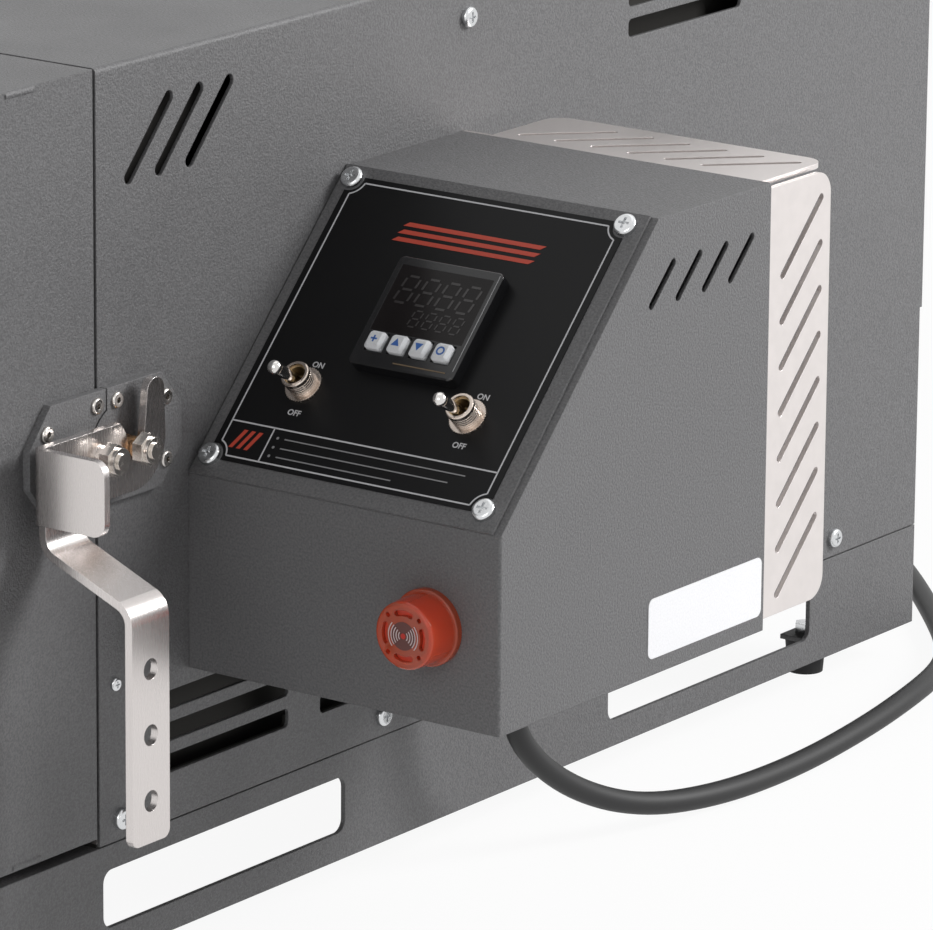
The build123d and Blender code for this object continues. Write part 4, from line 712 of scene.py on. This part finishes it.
class OVEN_OT_cord(bpy.types.Operator):
    """Power cord from the gland to its plug, the spare length coiled behind the oven"""
    bl_idname = "oven.cord"
    bl_label = "Power cord"

    diameter = 9.5 * MM
    level = 4.95
    # Route in millimetres from the corner that the part is laid out from, as in the part's source
    route = ((33, 160, 92), (33, 160, 69), (34, 169, 47.5), (38, 197, 25.5), (46, 232, 11),
             (54, 276, 6), (56, 330, level), (55, 384, 8), (50, 430, 11), (37, 471, 9),
             (14, 513, level), (-24, 558, level), (-64, 601, level), (-112, 646, level),
             (-156, 646, level))
    coil_radius = 62.0
    coil_turns = 3
    coil_pitch = 10.3
    tail = 48.0
    per_turn = 16

    def execute(self, context):
        rubber = moulded("cord_rubber", (0.010, 0.010, 0.0105), 0.55, size=0.5 * MM,
                         height=0.02 * MM)
        corner = Vector((box_low.x, box_low.y, 0))
        points = [corner + Vector(p) * MM for p in [*self.route, *self.coil()]]
        line = bpy.data.curves.new("mains_cord", "CURVE")
        line.dimensions = "3D"
        line.bevel_depth = self.diameter / 2
        line.bevel_resolution = 5
        line.resolution_u = 8
        line.use_fill_caps = True
        spline = line.splines.new("NURBS")
        spline.points.add(len(points) - 1)
        for point, place in zip(spline.points, points):
            point.co = (*place, 1)
        spline.order_u = 3
        spline.use_endpoint_u = True
        cord = bpy.data.objects.new("mains_cord", line)
        bpy.context.scene.collection.objects.link(cord)
        line.materials.append(rubber)
        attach(cord, "cabinet")
        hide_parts("power_cord", "cord_coil")
        return {"FINISHED"}

    def coil(self):
        """Points of the coil's turns, in on the floor and out again on top."""
        x, y, z = self.route[-1]
        last = self.coil_turns * self.per_turn
        points = []
        for i in range(1, last + 1):
            turn = i / self.per_turn
            radius = self.coil_radius - self.coil_pitch * min(turn, self.coil_turns - turn)
            rise = min(max((turn - self.coil_turns / 2) * 2 + 0.5, 0), 1)
            angle = math.radians(90) + 2 * math.pi * turn
            points.append((x + radius * math.cos(angle), y - self.coil_radius + radius * math.sin(angle),
                           z + self.coil_pitch * rise))
        x1, y1, z1 = points[-1]
        points.append((x1 - self.tail * 0.3, y1, z1))
        points.append((x1 - self.tail, y1, z1))
        return points


class OVEN_OT_stage(bpy.types.Operator):
    """Floor, white surround, soft lamps and the photograph's camera"""
    bl_idname = "oven.stage"
    bl_label = "Stage"

    # Name, place, size and power of each lamp
    lamps = (("front_lamp", (0.9, -3.2, 1.6), 1.6, 21),
             ("top_lamp", (-0.4, 0.6, 3.0), 2.4, 8),
             ("side_lamp", (1.7, 1.1, 1.35), 0.8, 50))
    lamp_target = (0.0, 0.0, 0.15)
    floor_half = 6.0
    floor_white = 0.93              # the rest shows the object's shadow
    surround_light = 0.25
    # The camera's right and backward directions, and its place from the box's lower front left corner
    camera_right = (0.80653, 0.59114, 0.00760)
    camera_back = (0.56847, -0.77901, 0.26455)
    camera_place = (1.5754, -1.9832, 0.7738)
    sensor = 36.0
    lens = 271.8

    def execute(self, context):
        self.make_floor()
        self.make_world(context.scene)
        for lamp in self.lamps:
            self.add_lamp(*lamp)
        self.make_camera(context.scene)
        context.scene.view_settings.view_transform = "Standard"
        return {"FINISHED"}

    def seen_white(self, tree):
        """Value that is 1 for camera, glossy and transmission rays."""
        rays = tree.nodes.new("ShaderNodeLightPath")
        value = rays.outputs["Is Camera Ray"]
        for name in ("Is Glossy Ray", "Is Transmission Ray"):
            both = tree.nodes.new("ShaderNodeMath")
            both.operation = "MAXIMUM"
            tree.links.new(value, both.inputs[0])
            tree.links.new(rays.outputs[name], both.inputs[1])
            value = both.outputs["Value"]
        return value

    def make_floor(self):
        mesh = bpy.data.meshes.new("floor")
        half = self.floor_half
        corners = [(-half, -half, 0), (half, -half, 0), (half, half, 0), (-half, half, 0)]
        mesh.from_pydata(corners, [], [(0, 1, 2, 3)])
        floor = bpy.data.objects.new("floor", mesh)
        bpy.context.scene.collection.objects.link(floor)
        material, shader = new_finish("floor_white", (0.82, 0.82, 0.82), 0.9)
        tree = material.node_tree
        glow = tree.nodes.new("ShaderNodeEmission")
        glow.inputs["Strength"].default_value = sizes().background
        mix = tree.nodes.new("ShaderNodeMixShader")
        share = tree.nodes.new("ShaderNodeMath")
        share.operation = "MULTIPLY"
        share.inputs[1].default_value = self.floor_white
        tree.links.new(self.seen_white(tree), share.inputs[0])
        tree.links.new(share.outputs["Value"], mix.inputs["Fac"])
        tree.links.new(shader.outputs["BSDF"], mix.inputs[1])
        tree.links.new(glow.outputs["Emission"], mix.inputs[2])
        tree.links.new(mix.outputs["Shader"], tree.nodes["Material Output"].inputs["Surface"])
        mesh.materials.append(material)

    def make_world(self, scene):
        world = bpy.data.worlds.new("surround")
        world.use_nodes = True
        tree = world.node_tree
        lighting = tree.nodes["Background"]
        lighting.inputs["Color"].default_value = (1, 1, 1, 1)
        lighting.inputs["Strength"].default_value = self.surround_light
        white = tree.nodes.new("ShaderNodeBackground")
        white.inputs["Color"].default_value = (1, 1, 1, 1)
        white.inputs["Strength"].default_value = sizes().background
        mix = tree.nodes.new("ShaderNodeMixShader")
        tree.links.new(self.seen_white(tree), mix.inputs["Fac"])
        tree.links.new(lighting.outputs["Background"], mix.inputs[1])
        tree.links.new(white.outputs["Background"], mix.inputs[2])
        tree.links.new(mix.outputs["Shader"], tree.nodes["World Output"].inputs["Surface"])
        scene.world = world

    def add_lamp(self, name, place, size, power):
        light = bpy.data.lights.new(name, "AREA")
        light.size = size
        light.energy = power
        lamp = bpy.data.objects.new(name, light)
        lamp.location = place
        aim = Vector(self.lamp_target) - Vector(place)
        lamp.rotation_euler = aim.to_track_quat("-Z", "Y").to_euler()
        bpy.context.scene.collection.objects.link(lamp)

    def make_camera(self, scene):
        """Camera fitted to the photograph's straight edges."""
        corner = Vector((box_low.x, box_low.y, box_low.z))
        right, back = Vector(self.camera_right), Vector(self.camera_back)
        data = bpy.data.cameras.new("camera")
        data.sensor_width = self.sensor
        data.lens = self.lens
        data.clip_start = 0.1
        data.clip_end = 50
        camera = bpy.data.objects.new("camera", data)
        turned = Matrix((right, back.cross(right), back)).transposed().to_4x4()
        turned.translation = corner + Vector(self.camera_place)
        camera.matrix_world = turned
        bpy.context.scene.collection.objects.link(camera)
        scene.camera = camera


class OVEN_PT_panel(bpy.types.Panel):
    """Lists the oven's steps"""
    bl_idname = "OVEN_PT_panel"
    bl_label = "Heat treat oven"
    bl_space_type = "VIEW_3D"
    bl_region_type = "UI"
    bl_category = "Oven"

    def draw(self, context):
        for group in (context.scene.oven_colours, context.scene.oven_sizes):
            for name in group.__annotations__:
                self.layout.prop(group, name)
        for step in steps:
            self.layout.operator(step.bl_idname)


steps = (OVEN_OT_sheets, OVEN_OT_steel, OVEN_OT_fasteners, OVEN_OT_brickwork, OVEN_OT_elements,
         OVEN_OT_panel, OVEN_OT_controller, OVEN_OT_switches, OVEN_OT_lamp, OVEN_OT_small_parts,
         OVEN_OT_cord, OVEN_OT_stage)
classes = (OvenColours, OvenSizes, *steps, OVEN_PT_panel)


def register():
    for item in classes:
        bpy.utils.register_class(item)
    bpy.types.Scene.oven_colours = bpy.props.PointerProperty(type=OvenColours)
    bpy.types.Scene.oven_sizes = bpy.props.PointerProperty(type=OvenSizes)


def unregister():
    del bpy.types.Scene.oven_sizes
    del bpy.types.Scene.oven_colours
    for item in reversed(classes):
        bpy.utils.unregister_class(item)


def main():
    register()
    bpy.ops.oven.sheets()
    bpy.ops.oven.steel()
    bpy.ops.oven.fasteners()
    bpy.ops.oven.brickwork()
    bpy.ops.oven.elements()
    bpy.ops.oven.panel()
    bpy.ops.oven.controller()
    bpy.ops.oven.switches()
    bpy.ops.oven.lamp()
    bpy.ops.oven.small_parts()
    bpy.ops.oven.cord()
    bpy.ops.oven.stage()


if __name__ == "__main__":
    main()
